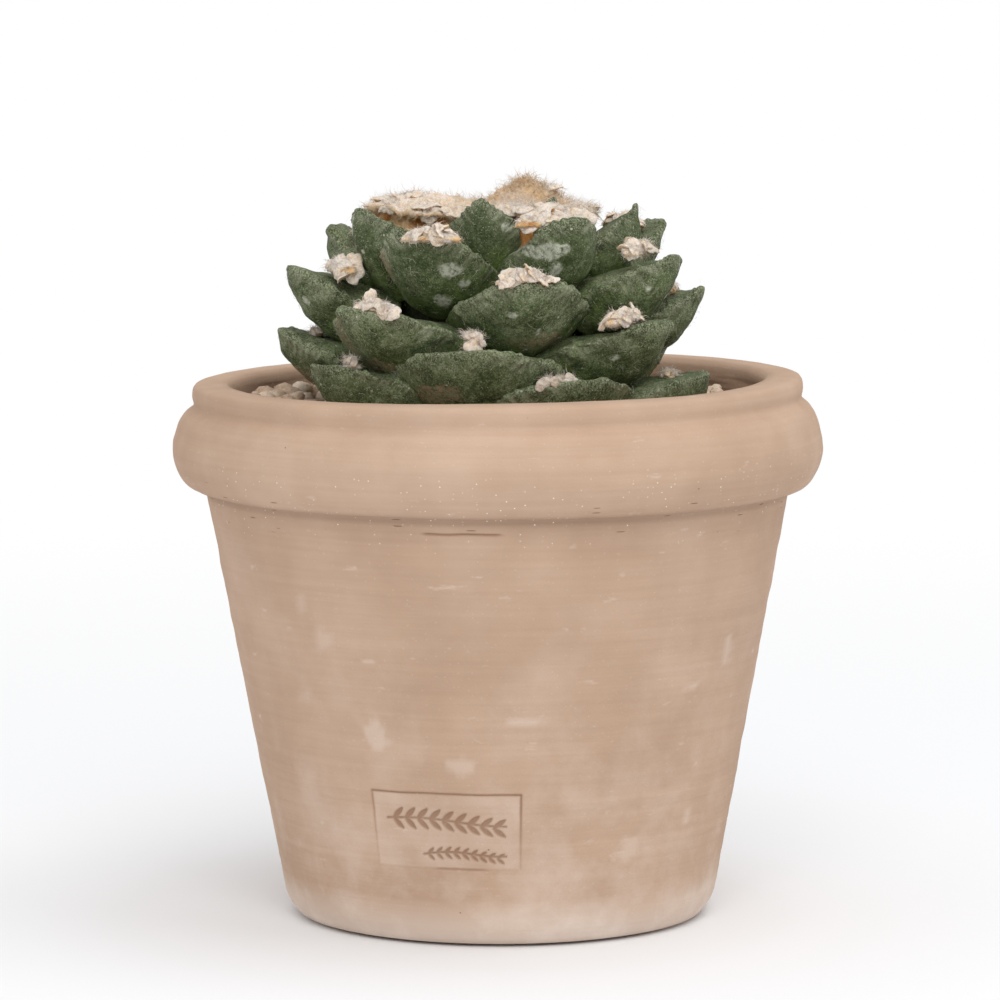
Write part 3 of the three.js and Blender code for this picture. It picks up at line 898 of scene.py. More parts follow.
@dataclass
class Tubercle:
    """One thick, triangular tubercle: where it grows, its middle line and its size, read from its CAD node.

    A point on it is given by along, from 0 at its base to 1 at its tip, and by an angle round its section,
    from 0 at its right margin over the upper face to pi at its left margin, and on round the keel.
    """

    number: int
    tip: Array
    forward: Array
    side: Array
    length: float
    half_width: float
    random: Random

    ROWS = 84
    COLUMNS = 96
    YOUNGEST = -3
    FULL_LENGTH = 33
    FULL_WIDTH = 26
    OLD_PITCH = 14
    PITCH_GAIN = 40
    FURROW_SPACING = 1.9
    WART_SPACING = 1.1

    # How far some stand to the right of, behind and above their nodes: their tips hide in wool or stones.
    SHIFTS = {1: (3.5, -1.0, -4.0), 2: (1, 0, -9.5), 3: (0, 0, -5.5), 5: (0, 0, -4), 31: (0, 0, -5)}

    @classmethod
    def measured(cls, number: int, axis: Array) -> "Tubercle":
        """Reads one tubercle's frame from its node: its tip is its furthest point along the way that it grows.

        With its age a its pitch falls as exp(-a / 7), and its length and width near full size the same way.

        Args:
            number: The node's number, 1 for the youngest.
            axis: A point on the plant's axis.

        Returns:
            The tubercle.
        """
        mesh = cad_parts[f"tubercle_{number:02d}"].data
        flat = np.empty(3 * len(mesh.vertices), np.float32)
        mesh.vertices.foreach_get("co", flat)
        points = flat.reshape(-1, 3).astype(float) / MM - axis * [1, 1, 0]
        age = max(number - 1 + cls.YOUNGEST, 0)
        upper_tone = number - 1 + cls.YOUNGEST < 0
        pitch = math.radians(cls.OLD_PITCH + cls.PITCH_GAIN * math.exp(-age / 7))
        radii = np.hypot(points[:, 0], points[:, 1])
        tip = points[np.argmax(radii * math.cos(pitch) + points[:, 2] * math.sin(pitch))]
        tip = tip + cls.SHIFTS.get(number, (0, 0, 0))
        radial = unit(tip * [1, 1, 0])
        forward = radial * math.cos(pitch) + UP * math.sin(pitch)
        side = np.cross(UP, radial)
        length = cls.FULL_LENGTH * (1 - math.exp(-(age + 8) / 7)) * (0.8 if upper_tone else 1)
        width = cls.FULL_WIDTH * (1 - math.exp(-(age + 5) / 12.5)) * (0.6 if upper_tone else 1)
        measured = np.abs((points - tip) @ side).max()
        random = np.random.default_rng(400 + number)
        return cls(number, tip + axis * [1, 1, 0], forward, side, length, max(width, measured), random)

    @property
    def point_power(self) -> float:
        """The power that shapes the plan's end: 0.92 on the youngest in view, down to 0.62 on the oldest."""
        return 0.62 + 0.3 * math.exp(-max(self.number - 4, 0) / 4)

    @property
    def above(self) -> Array:
        """The direction out of the upper face."""
        return np.cross(self.forward, self.side)

    def point(self, along: Array, angle: Array) -> Array:
        """Points of the smooth body.

        The half width is W (1 - u^2.3)^p, drawn in a little at the base; p is point_power. Across the section
        the thickness goes as (1 - |cos|^2)^0.72 above and (1 - |cos|^1.8)^0.74 below, so that the margins are
        edges, and the upper face dips along its middle. The upper thickness fades with (1 - u)^0.8 and the
        keel with (1 - u^2.2)^0.68, and the middle line turns up with u^3.

        Args:
            along: 0 at the base to 1 at the tip.
            angle: Radians round the section.

        Returns:
            Points in millimetres.
        """
        base = self.tip - self.forward * self.length - self.above * 0.06 * self.length
        root = 0.94 + 0.06 * np.sin(np.pi / 2 * np.minimum(along / 0.4, 1))
        plan = root * (1 - along**2.3) ** self.point_power
        cos, sin = np.cos(angle), np.sin(angle)
        across = self.half_width * plan * cos
        dip = 1 - 0.25 * np.exp(-((cos / 0.4) ** 2)) * smooth_step(along, 1.0, 0.8)
        top = 0.25 * self.length * (1 - along) ** 0.8 * np.maximum(1 - cos**2, 0) ** 0.72 * dip
        keel = 0.42 * self.length * (1 - along**2.2) ** 0.68 * np.maximum(1 - np.abs(cos) ** 1.8, 0) ** 0.74
        lift = np.where(sin >= 0, top, -keel) + 0.06 * self.length * along**3
        ahead = self.length * along
        offsets = ahead[..., None] * self.forward, across[..., None] * self.side, lift[..., None] * self.above
        return base + offsets[0] + offsets[1] + offsets[2]

    def contains(self, points: Array, room: float) -> Array:
        """Whether points lie inside a box section round the body, grown by a little room."""
        local = points - (self.tip - self.forward * self.length)
        along = local @ self.forward / self.length
        plan = np.maximum(1 - np.clip(along, 0, 1) ** 2.3, 0) ** 0.66
        across = np.abs(local @ self.side) < self.half_width * plan + room
        lift = local @ self.above
        deep = 0.4 * self.length * np.maximum(1 - np.clip(along, 0, 1) ** 2.2, 0) ** 0.62
        return (along > -0.2) & (along < 1.05) & across & (lift > -deep - room) & (lift < 0.3 * self.length)

    def patches(self, grid: Array, marks: list[Patch], seed: int) -> Array:
        """How much the marks cover each point: 1 inside a wavy ellipse on the front, seen along the body."""
        local = grid - self.tip
        right, below = local @ self.side, -(local @ UP)
        cover = np.zeros(grid.shape[:-1])
        for mark in marks:
            reach = np.hypot((right - mark.across) / mark.half_width, (below - mark.below) / mark.half_height)
            wave = 0.3 * noise(grid, 1.6, seed) + 0.25 * noise(grid, 3.5, seed + 1)
            cover = np.maximum(cover, smooth_step(reach + wave, 1.15, 0.85))
        return cover

    def surface(self) -> Surface:
        """The tubercle's skin: the smooth body, then lumps, warts and furrows moved along its normals.

        Lumps are wide noise. Warts are round bumps, h exp(-d^2 / r^2), along each margin and round the tip.
        Furrows, exp(-d^2 / w^2), run down from the margins, and their floors are pale below.

        Returns:
            The closed surface with values for moss, scurf, streaks, cork and scars.
        """
        random = self.random
        share = np.arange(self.ROWS) / (self.ROWS - 1)
        along = (0.995 * np.sin(np.pi / 2 * share**0.9))[:, None]
        angle = (2 * np.pi * np.arange(self.COLUMNS) / self.COLUMNS)[None, :]
        along, angle = np.broadcast_arrays(along, angle)
        grid = self.point(along, angle)
        normals = grid_normals(grid)
        bend = random.normal(0, 0.5, 2)
        bent = bend[0] * self.side + 0.5 * bend[1] * self.above
        grid = grid + (along**2 * self.length * 0.03)[..., None] * bent
        lumps = 1.2 * noise(grid, 13, 11) + 0.55 * noise(grid, 5, 12) + 0.16 * noise(grid, 1.6, 13)
        fade = smooth_step(along, 0.0, 0.2)
        down = np.sin(angle) < 0
        right_margin = self.point(along[:, :1], np.zeros((self.ROWS, 1)))
        left_margin = self.point(along[:, :1], np.full((self.ROWS, 1), np.pi))
        off_right = np.linalg.norm(grid - right_margin, axis=-1)
        off_left = np.linalg.norm(grid - left_margin, axis=-1)
        off = np.minimum(off_right, off_left)
        is_right = np.cos(angle) > 0
        ahead = along * self.length
        push = lumps * fade
        streak = np.zeros(grid.shape[:-1])
        furrow = np.zeros(grid.shape[:-1])
        count = int(self.length * 0.75 / self.FURROW_SPACING)
        for sign in (True, False):
            steps = np.arange(count) + random.uniform(-0.3, 0.3, count)
            starts = self.length * (0.3 + 0.68 * steps / count)
            reach = random.uniform(2.5, 7.5, count)
            width = random.uniform(0.35, 0.65, count)
            strength = random.uniform(0.25, 1.0, count)
            waver = 0.8 * noise(grid, 4, 15)
            gap = (ahead + waver)[..., None] - starts
            line = np.exp(-((gap / width) ** 2)) * smooth_step(off[..., None] / reach, 1.0, 0.35) * strength
            mine = (is_right == sign)[..., None]
            streak = np.maximum(streak, (line * mine * down[..., None]).max(axis=-1))
            furrow = np.maximum(furrow, (line * mine).max(axis=-1))
        bumps = 2 * max(int(self.length / self.WART_SPACING), 12)
        spots = random.uniform(0.34, 1.0, bumps) ** 0.8
        turns = np.where(np.arange(bumps) % 2, np.pi, 0) + random.normal(0.02, 0.2, bumps)
        centres = self.point(np.minimum(spots, 0.985), turns)
        sizes = random.uniform(0.65, 1.5, bumps)
        heights = random.uniform(0.5, 1.45, bumps) * (0.5 + 0.5 * spots)
        apart = np.linalg.norm(grid[..., None, :] - centres, axis=-1)
        warts = (heights * np.exp(-((apart / sizes) ** 2))).max(axis=-1)
        wavy = 1.5 * noise(grid, 6.5, 18 + self.number) * np.exp(-off / 4) * smooth_step(along, 0.15, 0.4)
        push += warts + wavy - 0.4 * furrow * fade
        push *= 1 - 0.75 * smooth_step(along, 0.88, 1.0)
        grid = grid + normals * push[..., None]
        shelter = smooth_step(along, 0.72, 0.25) * (0.45 + 0.55 * down)
        near_margin = np.exp(-off / 2.6) * smooth_step(along, 0.2, 0.5) + 0.5 * smooth_step(along, 0.86, 1.0)
        values = {
            "moss": np.clip(shelter + 0.25 * noise(grid, 9, 17), 0, 1),
            "scurf": np.clip(near_margin + 0.3 * (~down) * fade, 0, 1),
            "streak": 0.85 * streak * smooth_step(noise(grid, 6, 16), -0.7, 0.2),
            "cork": self.patches(grid, CORKS.get(self.number, []), 21),
            "scar": 0.85 * self.patches(grid, SCARS.get(self.number, []), 23),
        }
        skin = Surface.rings(grid)
        skin.values = {key: np.concatenate([value.ravel(), [0, 0]]) for key, value in values.items()}
        return skin

    def hairs(self, count: int) -> Surface:
        """Short pale hairs scattered over the upper margins and the flanks."""
        random = self.random
        along = random.uniform(0.15, 0.97, count)
        angle = random.uniform(np.pi, 2 * np.pi, count)
        roots = self.point(along, angle)
        middle = self.tip - self.forward * self.length * 0.5
        outward = unit(roots - middle)
        wander = random.normal(0, 1, (count, 3))
        courses = unit(wander - 0.85 * np.sum(wander * outward, axis=1, keepdims=True) * outward)
        lengths = random.uniform(0.5, 1.7, count) + 2.5 * (random.uniform(size=count) > 0.95)
        return fibres(roots + 0.5 * outward, courses, lengths, 0.04, 0.5, random, rings=3)

    def build(self, skin: Material) -> None:
        """Makes the tubercle's piece."""
        node = f"tubercle_{self.number:02d}"
        place(f"living_{node}", self.surface(), skin, "tubercle_skin", [node])


# ---- Wool ----


class WoolKind(Enum):
    """How a tuft of wool has weathered."""

    FLEECE = "a fluffy ball"
    FELT = "a draped and folded sheet"
    DRIED = "a shrivelled scrap"


def felt_flake(
    middle: Array, reach: float, tilt: Array, warmth: float, grey: float, random: Random
) -> Surface:
    """One flake of felt: a thin round sheet with a ragged rim, rippled, and bent down away from its middle.

    Args:
        middle: Its middle.
        reach: Its mean radius.
        tilt: The way that its upper side faces.
        warmth: How rusty its underside is.
        grey: How dried it is.
        random: Draws its outline and its pattern.

    Returns:
        The closed sheet, with values for warmth and dried scraps.
    """
    top_rows, under_rows, columns = 11, 5, 40
    share = np.concatenate([np.linspace(0.06, 1, top_rows), np.linspace(0.97, 0.06, under_rows)])[:, None]
    below = np.concatenate([np.zeros(top_rows), np.ones(under_rows)])[:, None]
    turn = (2 * np.pi * np.arange(columns) / columns)[None, :]
    seed = int(random.integers(100, 9000))
    rim = np.stack([2 * np.cos(turn), 2 * np.sin(turn), 0 * turn], axis=-1)
    ragged = 1 + 0.3 * noise(rim, 1.5, seed) + 0.12 * noise(rim, 0.6, seed + 1)
    stretch = random.uniform(1.0, 1.7)
    x = reach * stretch * share * ragged * np.cos(turn)
    y = reach * share * ragged * np.sin(turn)
    spot = np.stack([x, y, 0 * x], axis=-1)
    bend = 0.24 * random.uniform(0.6, 1.4) * (0.6 * x**2 / stretch**2 + 1.5 * y**2) / reach
    folds = 0.6 * noise(spot, (1.3, 4.5, 9), seed + 2) + 0.3 * noise(spot, (0.7, 1.6, 9), seed + 3)
    swell = 0.6 * np.sqrt(np.maximum(1.02 - share**2, 0))
    z = folds - bend + np.where(below > 0, -swell, swell)
    aside = unit(np.cross([0.2 * random.normal(), 1, 0], tilt))
    basis = np.stack([aside, np.cross(tilt, aside), tilt])
    sheet = Surface.rings(np.stack([x, y, z], axis=-1) @ basis + middle)
    tone = random.uniform(0.0, 0.1) + 0.1 * noise(spot, 1.5, seed + 4) + 0.6 * warmth * below
    tone = tone + 0.25 * smooth_step(-folds, 0.25, 0.7) * warmth
    spots = smooth_step(noise(spot, 1.0, seed + 5), 0.72, 0.85) * 0.4
    sheet.values = {
        "warmth": np.append(np.clip(tone, 0, 1).ravel(), [0, 0]),
        "dried": np.append(np.clip(grey * 0.6 + spots, 0, 1).ravel(), [0, 0]),
    }
    return sheet


@dataclass
class Tuft:
    """A tuft of wool above one tubercle.

    Its middle is given from the tubercle's tip: how far right, how far ahead and how far up. Its size is
    three half widths: across, ahead and up.
    """

    number: int
    kind: WoolKind
    middle: tuple[float, float, float]
    half: tuple[float, float, float]
    warmth: float = 0.35
    grey: float = 0.0

    def core(self) -> Surface:
        """The lump under the flakes: an ellipsoid with a ragged plan and folds of noise, narrow across."""
        rows, columns = 34, 56
        lat = (np.pi * (np.arange(rows) + 0.5) / rows)[:, None]
        turn = (2 * np.pi * np.arange(columns) / columns)[None, :]
        x, y = np.sin(lat) * np.cos(turn), np.sin(lat) * np.sin(turn)
        ball = np.stack(np.broadcast_arrays(x, y, np.cos(lat)), axis=-1)
        half = np.array(self.half) * (0.78, 0.75, 0.6)
        spot = ball * half + 50 * self.number
        offset = np.array(self.half) * (0, 0.06, -0.15)
        shape = ball * half * (1 + 0.25 * noise(spot, 4.0, 31) + 0.12 * noise(spot, 1.6, 32))[..., None]
        folds = 0.5 * noise(spot, (1.2, 5, 2.4), 33) + 0.3 * noise(spot, (0.7, 2.4, 1.0), 34)
        shape += ball * folds[..., None]
        body = Surface.rings(shape + offset)
        warmth = 0.65 * self.warmth + 0.35 * noise(spot, 2.4, 36)
        # Gaps in the wool are darkened with painted shade.
        gap_shade = 0.75 * smooth_step(noise(spot, 1.9, 38), 0.35, 0.7)
        body.values = {
            "warmth": np.append(np.clip(warmth, 0, 1).ravel(), [0.2, 0.2]),
            "dried": np.append(np.clip(self.grey + gap_shade, 0, 1).ravel(), [0, 0]),
        }
        return body

    def surface(self, tubercle: Tubercle) -> Surface:
        """The tuft: its core, flakes of felt that overlap on it, and its loose and matted hairs.

        Args:
            tubercle: The tubercle that it grows above.

        Returns:
            Closed surfaces with values for warmth, and for dried scraps and painted shade in gaps.
        """
        random = np.random.default_rng(900 + self.number)
        flakes, hairs, upright = {
            WoolKind.FLEECE: (7, 1100, 0.45),
            WoolKind.FELT: (13, 1000, 0.05),
            WoolKind.DRIED: (8, 300, 0.25),
        }[self.kind]
        is_felt = self.kind is WoolKind.FELT
        half = np.array(self.half)
        core = self.core()
        parts = [] if is_felt else [core]
        for share, size in ((-0.55, 0.6), (0.15, 0.55), (0.68, 0.62)) if is_felt else ():
            shift = half * (share, random.uniform(-0.2, 0.3), random.uniform(0.0, 0.25))
            turned = core.points @ np.diag([random.choice([-1, 1]) * size, 0.6, 0.85 * size + 0.2])
            parts.append(Surface(turned + shift, core.quads, core.triangles, dict(core.values)).outward())
        for i in range(flakes):
            across = (i + 0.5) / flakes * 2 - 1 + random.uniform(-0.2, 0.2)
            ahead = random.uniform(-0.5, 0.95)
            up = 0.78 * math.sqrt(max(1 - 0.75 * across**2 - 0.6 * ahead**2, 0.05))
            middle = half * (0.85 * across, 0.7 * ahead, up)
            tilt = unit(UP + random.normal(0, 0.4, 3) + [0.4 * across, 0.9 * ahead + 0.2, 0])
            reach = random.uniform(0.35, 0.66) * half[0] ** 0.75 * (0.75 + 0.25 * is_felt)
            parts.append(felt_flake(middle, reach, tilt, self.warmth, self.grey, random))
        body = Surface.joined(parts)
        picks = random.integers(0, len(body.points), hairs)
        outward = unit(body.points[picks] / half)
        swirl = random.normal(0, 1, (hairs, 3)) * [1, 0.8, 0.3]
        courses = unit(outward * upright * 1.6 + unit(swirl))
        thick = random.choice([0.05, 0.08, 0.14], hairs, p=[0.5, 0.35, 0.15])
        lengths = random.uniform(0.8, 2.8, hairs) * (0.8 + 0.4 * upright)
        roots = body.points[picks] + 0.12 * outward
        warmth = body.values["warmth"][picks] * 0.8
        loose = warm_hairs(roots, courses, lengths, thick, 0.55, warmth, 0.06, random)
        tuft = Surface.joined([body, loose])
        axes = np.stack([tubercle.side, unit(tubercle.forward * [1, 1, 0]), UP])
        tuft.points = tuft.points @ axes + (tubercle.tip + np.array(self.middle) @ axes)
        return tuft.outward()


FRONT_TUFTS = [
    Tuft(9, WoolKind.FELT, (-4.0, -9.0, -2.0), (11.0, 5.0, 2.4), 0.9),
    Tuft(12, WoolKind.FELT, (6.4, -0.6, -2.2), (8.0, 4.0, 2.3), 0.5),
    Tuft(14, WoolKind.FELT, (-5.5, -9.5, 0.8), (7.4, 4.4, 2.8), 0.3),
    Tuft(15, WoolKind.FELT, (9.0, -14.0, -0.6), (9.6, 5.0, 3.0), 0.55),
    Tuft(17, WoolKind.FELT, (-2.6, -2.4, -0.2), (7.4, 4.2, 3.4), 0.8),
    Tuft(20, WoolKind.FELT, (2.4, -3.6, -0.2), (6.2, 3.6, 2.0), 0.55),
    Tuft(22, WoolKind.FELT, (-8.0, -6.0, 1.0), (7.2, 4.2, 2.6), 0.25),
    Tuft(25, WoolKind.DRIED, (0.3, -2.6, 1.2), (3.2, 2.8, 4.2), 0.1),
    Tuft(28, WoolKind.DRIED, (5.0, -5.5, -0.4), (3.4, 3.0, 2.4), 0.1, 0.3),
    Tuft(30, WoolKind.DRIED, (-7.0, -6.0, -1.2), (6.5, 2.6, 1.4), 0.1, 0.4),
]


@dataclass
class Crown:
    """The wool that fills the crown: mounds of felt whose flaky edge overhangs a rusty hollow.

    A mound is the x and y of its middle, its height and its width.
    """

    axis: Array
    brow: float = 198.2
    rise: float = 0.5
    lip: float = 0.8
    floor: float = 186.0
    mounds: tuple = (
        (-24, -4, 3.2, 6.0),
        (-14, -13, 0.8, 5),
        (8, 3, 6.2, 6.8),
        (-7, -3, -1.2, 5),
        (20, -14, -0.8, 6),
        (-8, 20, 1.4, 9),
        (16, 18, 1.0, 8),
        (-20, 9, 1.2, 8),
    )

    COLUMNS = 220
    TOP_ROWS = 62
    ROLL_ROWS = 9

    @staticmethod
    def golden(x: Array, y: Array) -> Array:
        """How golden the felt is: exp(-d^2 / 200) about the middle mound."""
        return np.exp(-((x - 9) ** 2 + (y - 2) ** 2) / 200)

    def reach(self, turn: Array) -> Array:
        """The brow's distance from the axis at a compass angle: a circle that bulges left, drawn in ahead."""
        spot = swept(40, turn, 0)
        bulge = 4.8 * np.exp(-(((turn + 1.35) / 0.5) ** 2)) - 6.0 * np.exp(-((turn / 0.34) ** 2))
        return 29.5 + bulge + 1.5 * noise(spot, 9, 41) + 1.1 * noise(spot, 4, 42) + 0.6 * noise(spot, 2, 52)

    def height(self, x: Array, y: Array, share: Array) -> Array:
        """The top's height: a dome (1 - s^2.4)^0.7, round mounds h exp(-d^2 / 2 w^2), and noise."""
        dome = self.rise * np.maximum(1 - share**2.4, 0) ** 0.7
        swell = 0
        for middle_x, middle_y, high, wide in self.mounds:
            swell = swell + high * np.exp(-((x - middle_x) ** 2 + (y - middle_y) ** 2) / (2 * wide * wide))
        spot = np.stack([x, y, 0 * x], axis=-1)
        back = 4.0 * smooth_step(y, 0, 24) - 0.5 * np.exp(-((x + 22) ** 2 + (y + 18) ** 2) / 150)
        brow = self.brow - back + 1.2 * noise(spot, 12, 53) * share
        level = brow + dome + swell * (1 - 0.4 * share**6)
        return level + 1.0 * noise(spot, 6, 43) + 0.6 * noise(spot, 2.2, 44, 2)

    def body(self) -> tuple[Surface, Array]:
        """The felt's skin, in four stages from the middle of the top.

        The top runs out to the brow, the brow rolls under in a half circle, the hollow draws back, and its
        floor runs out and down again. Every row of a stage is a ring round the axis.

        Returns:
            The closed surface with a value for warmth, and its normals.
        """
        middle = self.axis[0]
        turn = (2 * np.pi * np.arange(self.COLUMNS) / self.COLUMNS - np.pi)[None, :]
        reach = self.reach(turn)
        share = np.linspace(0.02, 1, self.TOP_ROWS)[:, None]
        spot = swept(reach * share, turn, 0, middle)
        x, y = spot[..., 0], spot[..., 1]
        spot[..., 2] = self.height(x, y, share)
        stages = [spot]
        golden = 0.08 + 0.42 * self.golden(x, y)
        warmth = [golden + 0.24 * noise(spot, 5, 45) + 0.12 * noise(spot, 1.6, 46)]
        roll = np.linspace(0.1, 1, self.ROLL_ROWS)[:, None] * np.pi
        fall = spot[-1:, :, 2] - self.lip * (1 - np.cos(roll)) * (1.2 + 0.6 * noise(spot[-1:], 4, 47))
        stages.append(swept(reach + self.lip * np.sin(roll), turn, fall, middle))
        warmth.append(np.broadcast_to(np.linspace(0.1, 0.5, self.ROLL_ROWS)[:, None], fall.shape))
        back = np.linspace(0.08, 1, 16)[:, None]
        hollow = 3.2 + 1.2 * noise(spot[-1:], 7, 48)
        drop = fall[-1:] - 0.9 * back**2
        stages.append(swept(reach - hollow * back, turn, drop, middle))
        out = np.linspace(0.06, 1, 22)[:, None]
        drop = drop[-1:] + (self.floor - drop[-1:]) * out
        stages.append(swept(reach - hollow + (hollow - 0.5) * out**0.8, turn, drop, middle))
        for stage in stages[2:]:
            warmth.append(0.62 + 0.4 * noise(stage, (3, 3, 6), 49) + 0.15 * noise(stage, (0.8, 0.8, 3), 54))
        grid = np.concatenate(stages)
        normals = grid_normals(grid)
        relief = 0.5 * noise(grid, (2.2, 2.2, 5), 50) + 0.3 * noise(grid, (1.0, 1.0, 2.4), 51)
        grid = grid + normals * relief[..., None]
        skin = Surface.rings(grid)
        skin.values = {"warmth": np.append(np.concatenate(warmth).ravel(), [0.3, 0.9])}
        return skin, normals

    def flakes(self, count: int, top_count: int) -> Surface:
        """Flakes of felt that overlap along the brow and hang over it, and more that lie about on the top.

        Args:
            count: How many flakes lie along the brow.
            top_count: How many lie on the top.

        Returns:
            The closed sheets, with their matted hairs.
        """
        random = np.random.default_rng(55)
        turns = 2 * np.pi * (np.arange(count) + random.uniform(-0.4, 0.4, count)) / count - np.pi
        turns = np.concatenate([turns, random.uniform(-np.pi, np.pi, top_count)])
        shares = np.concatenate([random.uniform(0.84, 0.95, count), random.uniform(0.45, 0.84, top_count)])
        sheets = []
        for turn, share in zip(turns, shares):
            away = np.array([math.sin(turn), -math.cos(turn), 0])
            spot = self.axis * [1, 1, 0] + away * float(self.reach(np.array([turn]))[0]) * share
            level = float(self.height(spot[None, :1], spot[None, 1:2], np.array([[share]]))[0, 0])
            hang = smooth_step(share, 0.85, 1.0)
            tilt = unit(UP + away * 0.75 * hang + random.normal(0, 0.16, 3))
            reach = random.uniform(2.2, 4.4)
            middle = spot + UP * (level - spot[2] + 0.1 - 0.2 * hang)
            sheets.append(felt_flake(middle, reach, tilt, 0.8, 0.0, random))
        body = Surface.joined(sheets)
        hairs = 80 * len(sheets)
        picks = random.integers(0, len(body.points), hairs)
        courses = unit(random.normal(0, 1, (hairs, 3)) * [1, 1, 0.3])
        thick = random.choice([0.05, 0.08, 0.15], hairs, p=[0.5, 0.35, 0.15])
        lengths = random.uniform(1, 4, hairs)
        warmth = 0.7 * body.values["warmth"][picks]
        loose = warm_hairs(body.points[picks], courses, lengths, thick, 0.5, warmth, 0.05, random)
        return Surface.joined([body, loose])

    def fleece(self, skin: Surface, normals: Array, count: int) -> Surface:
        """Loose hairs over the felt: upright and long on the middle mound, combed outwards elsewhere.

        Args:
            skin: The felt's surface.
            normals: Its normals by row and column.
            count: How many hairs.

        Returns:
            The hairs, with a value for warmth.
        """
        random = np.random.default_rng(77)
        points = skin.points[:-2].reshape(normals.shape)
        weight = np.linalg.norm(points[..., :2] - self.axis[:2], axis=-1)
        weight[self.TOP_ROWS + self.ROLL_ROWS - 1 :] *= 0.35
        golden = self.golden(points[..., 0], points[..., 1])
        weight *= 0.8 + 3.2 * golden
        picks = random.choice(weight.size, count, p=(weight / weight.sum()).ravel())
        roots = points.reshape(-1, 3)[picks] + random.normal(0, 0.25, (count, 3))
        outward = normals.reshape(-1, 3)[picks]
        away = unit((roots - self.axis) * [1, 1, 0])
        upright = golden.ravel()[picks][:, None]
        combed = outward * (0.05 + 0.4 * upright) + away * 0.6 * (1 - upright)
        courses = unit(combed + random.normal(0, 0.6, (count, 3)))
        lengths = random.uniform(1.0, 3.2, count) * (1 + 0.2 * upright[:, 0])
        thick = random.choice([0.06, 0.1, 0.16], count, p=[0.55, 0.3, 0.15])
        warmth = skin.values["warmth"][:-2][picks] * 0.8
        return warm_hairs(roots - 0.3 * outward, courses, lengths, thick, 0.6, warmth, 0.06, random)

    def build(self, wool: Material) -> None:
        """Makes the crown's felt, its fleece and its flakes."""
        skin, normals = self.body()
        place("crown_felt", skin, wool, "wool", ["crown_wool"])
        place("crown_fleece", self.fleece(skin, normals, 9000), wool, "wool", [])
        place("crown_flakes", self.flakes(34, 8), wool, "wool", [])


@dataclass
class Plant:
    """The cactus: tubercles in the order of their age, the wool between them and the stem that bears them."""

    tubercle_count: int = 31
    first_tuft: int = 9
    last_tuft: int = 29

    def tubercles(self) -> list[Tubercle]:
        """Every tubercle, read from its node, about the axis that the stem's box gives."""
        low, high = (np.array(corner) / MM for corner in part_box("stem_and_root"))
        axis = (low + high) / 2 * [1, 1, 0]
        return [Tubercle.measured(number, axis) for number in range(1, self.tubercle_count + 1)]

    def tufts(self) -> list[Tuft]:
        """The tufts in front as they are, and plain ones above the tubercles behind."""
        known = {tuft.number: tuft for tuft in FRONT_TUFTS}
        kinds = list(WoolKind)
        for number in range(self.first_tuft, self.last_tuft + 1):
            if number in known:
                continue
            random = np.random.default_rng(600 + number)
            kind = kinds[number % 2] if number < 22 else WoolKind.DRIED
            size = random.uniform(0.8, 1.15) * (1.0 if number < 22 else 0.6)
            middle = (random.uniform(-3, 3), -11.0, -1.2)
            half = (6.8 * size, 4.5 * size, 2.4 * size)
            known[number] = Tuft(number, kind, middle, half, random.uniform(0.2, 0.6))
        return [known[number] for number in sorted(known)]

    def build(self, tubercles: list[Tubercle]) -> None:
        """Makes the tubercles with their hairs, the crown, and the tufts, and dresses the stem."""
        skin = CactusSkin().material()
        wool = PlantWool().material()
        for tubercle in tubercles:
            tubercle.build(skin)
        hairs = Surface.joined([tubercle.hairs(130) for tubercle in tubercles])
        place("stray_hairs", hairs, wool, "wool", [])
        low, high = (np.array(corner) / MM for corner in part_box("stem_and_root"))
        Crown((low + high) / 2 * [1, 1, 0]).build(wool)
        for tuft in self.tufts():
            node = f"axil_wool_{tuft.number:02d}"
            stands_for = [node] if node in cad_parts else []
            surface = tuft.surface(tubercles[tuft.number - 1])
            place(f"wool_tuft_{tuft.number:02d}", surface, wool, "wool", stands_for)
        dress("stem_and_root", CactusSkin(bark=True).material())


# ---- Gravel and soil ----


def dress(node: str, material: Material) -> None:
    """Gives a CAD node that stays as it is a finish of its own."""
    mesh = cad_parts[node].data
    mesh.materials.clear()
    mesh.materials.append(material)


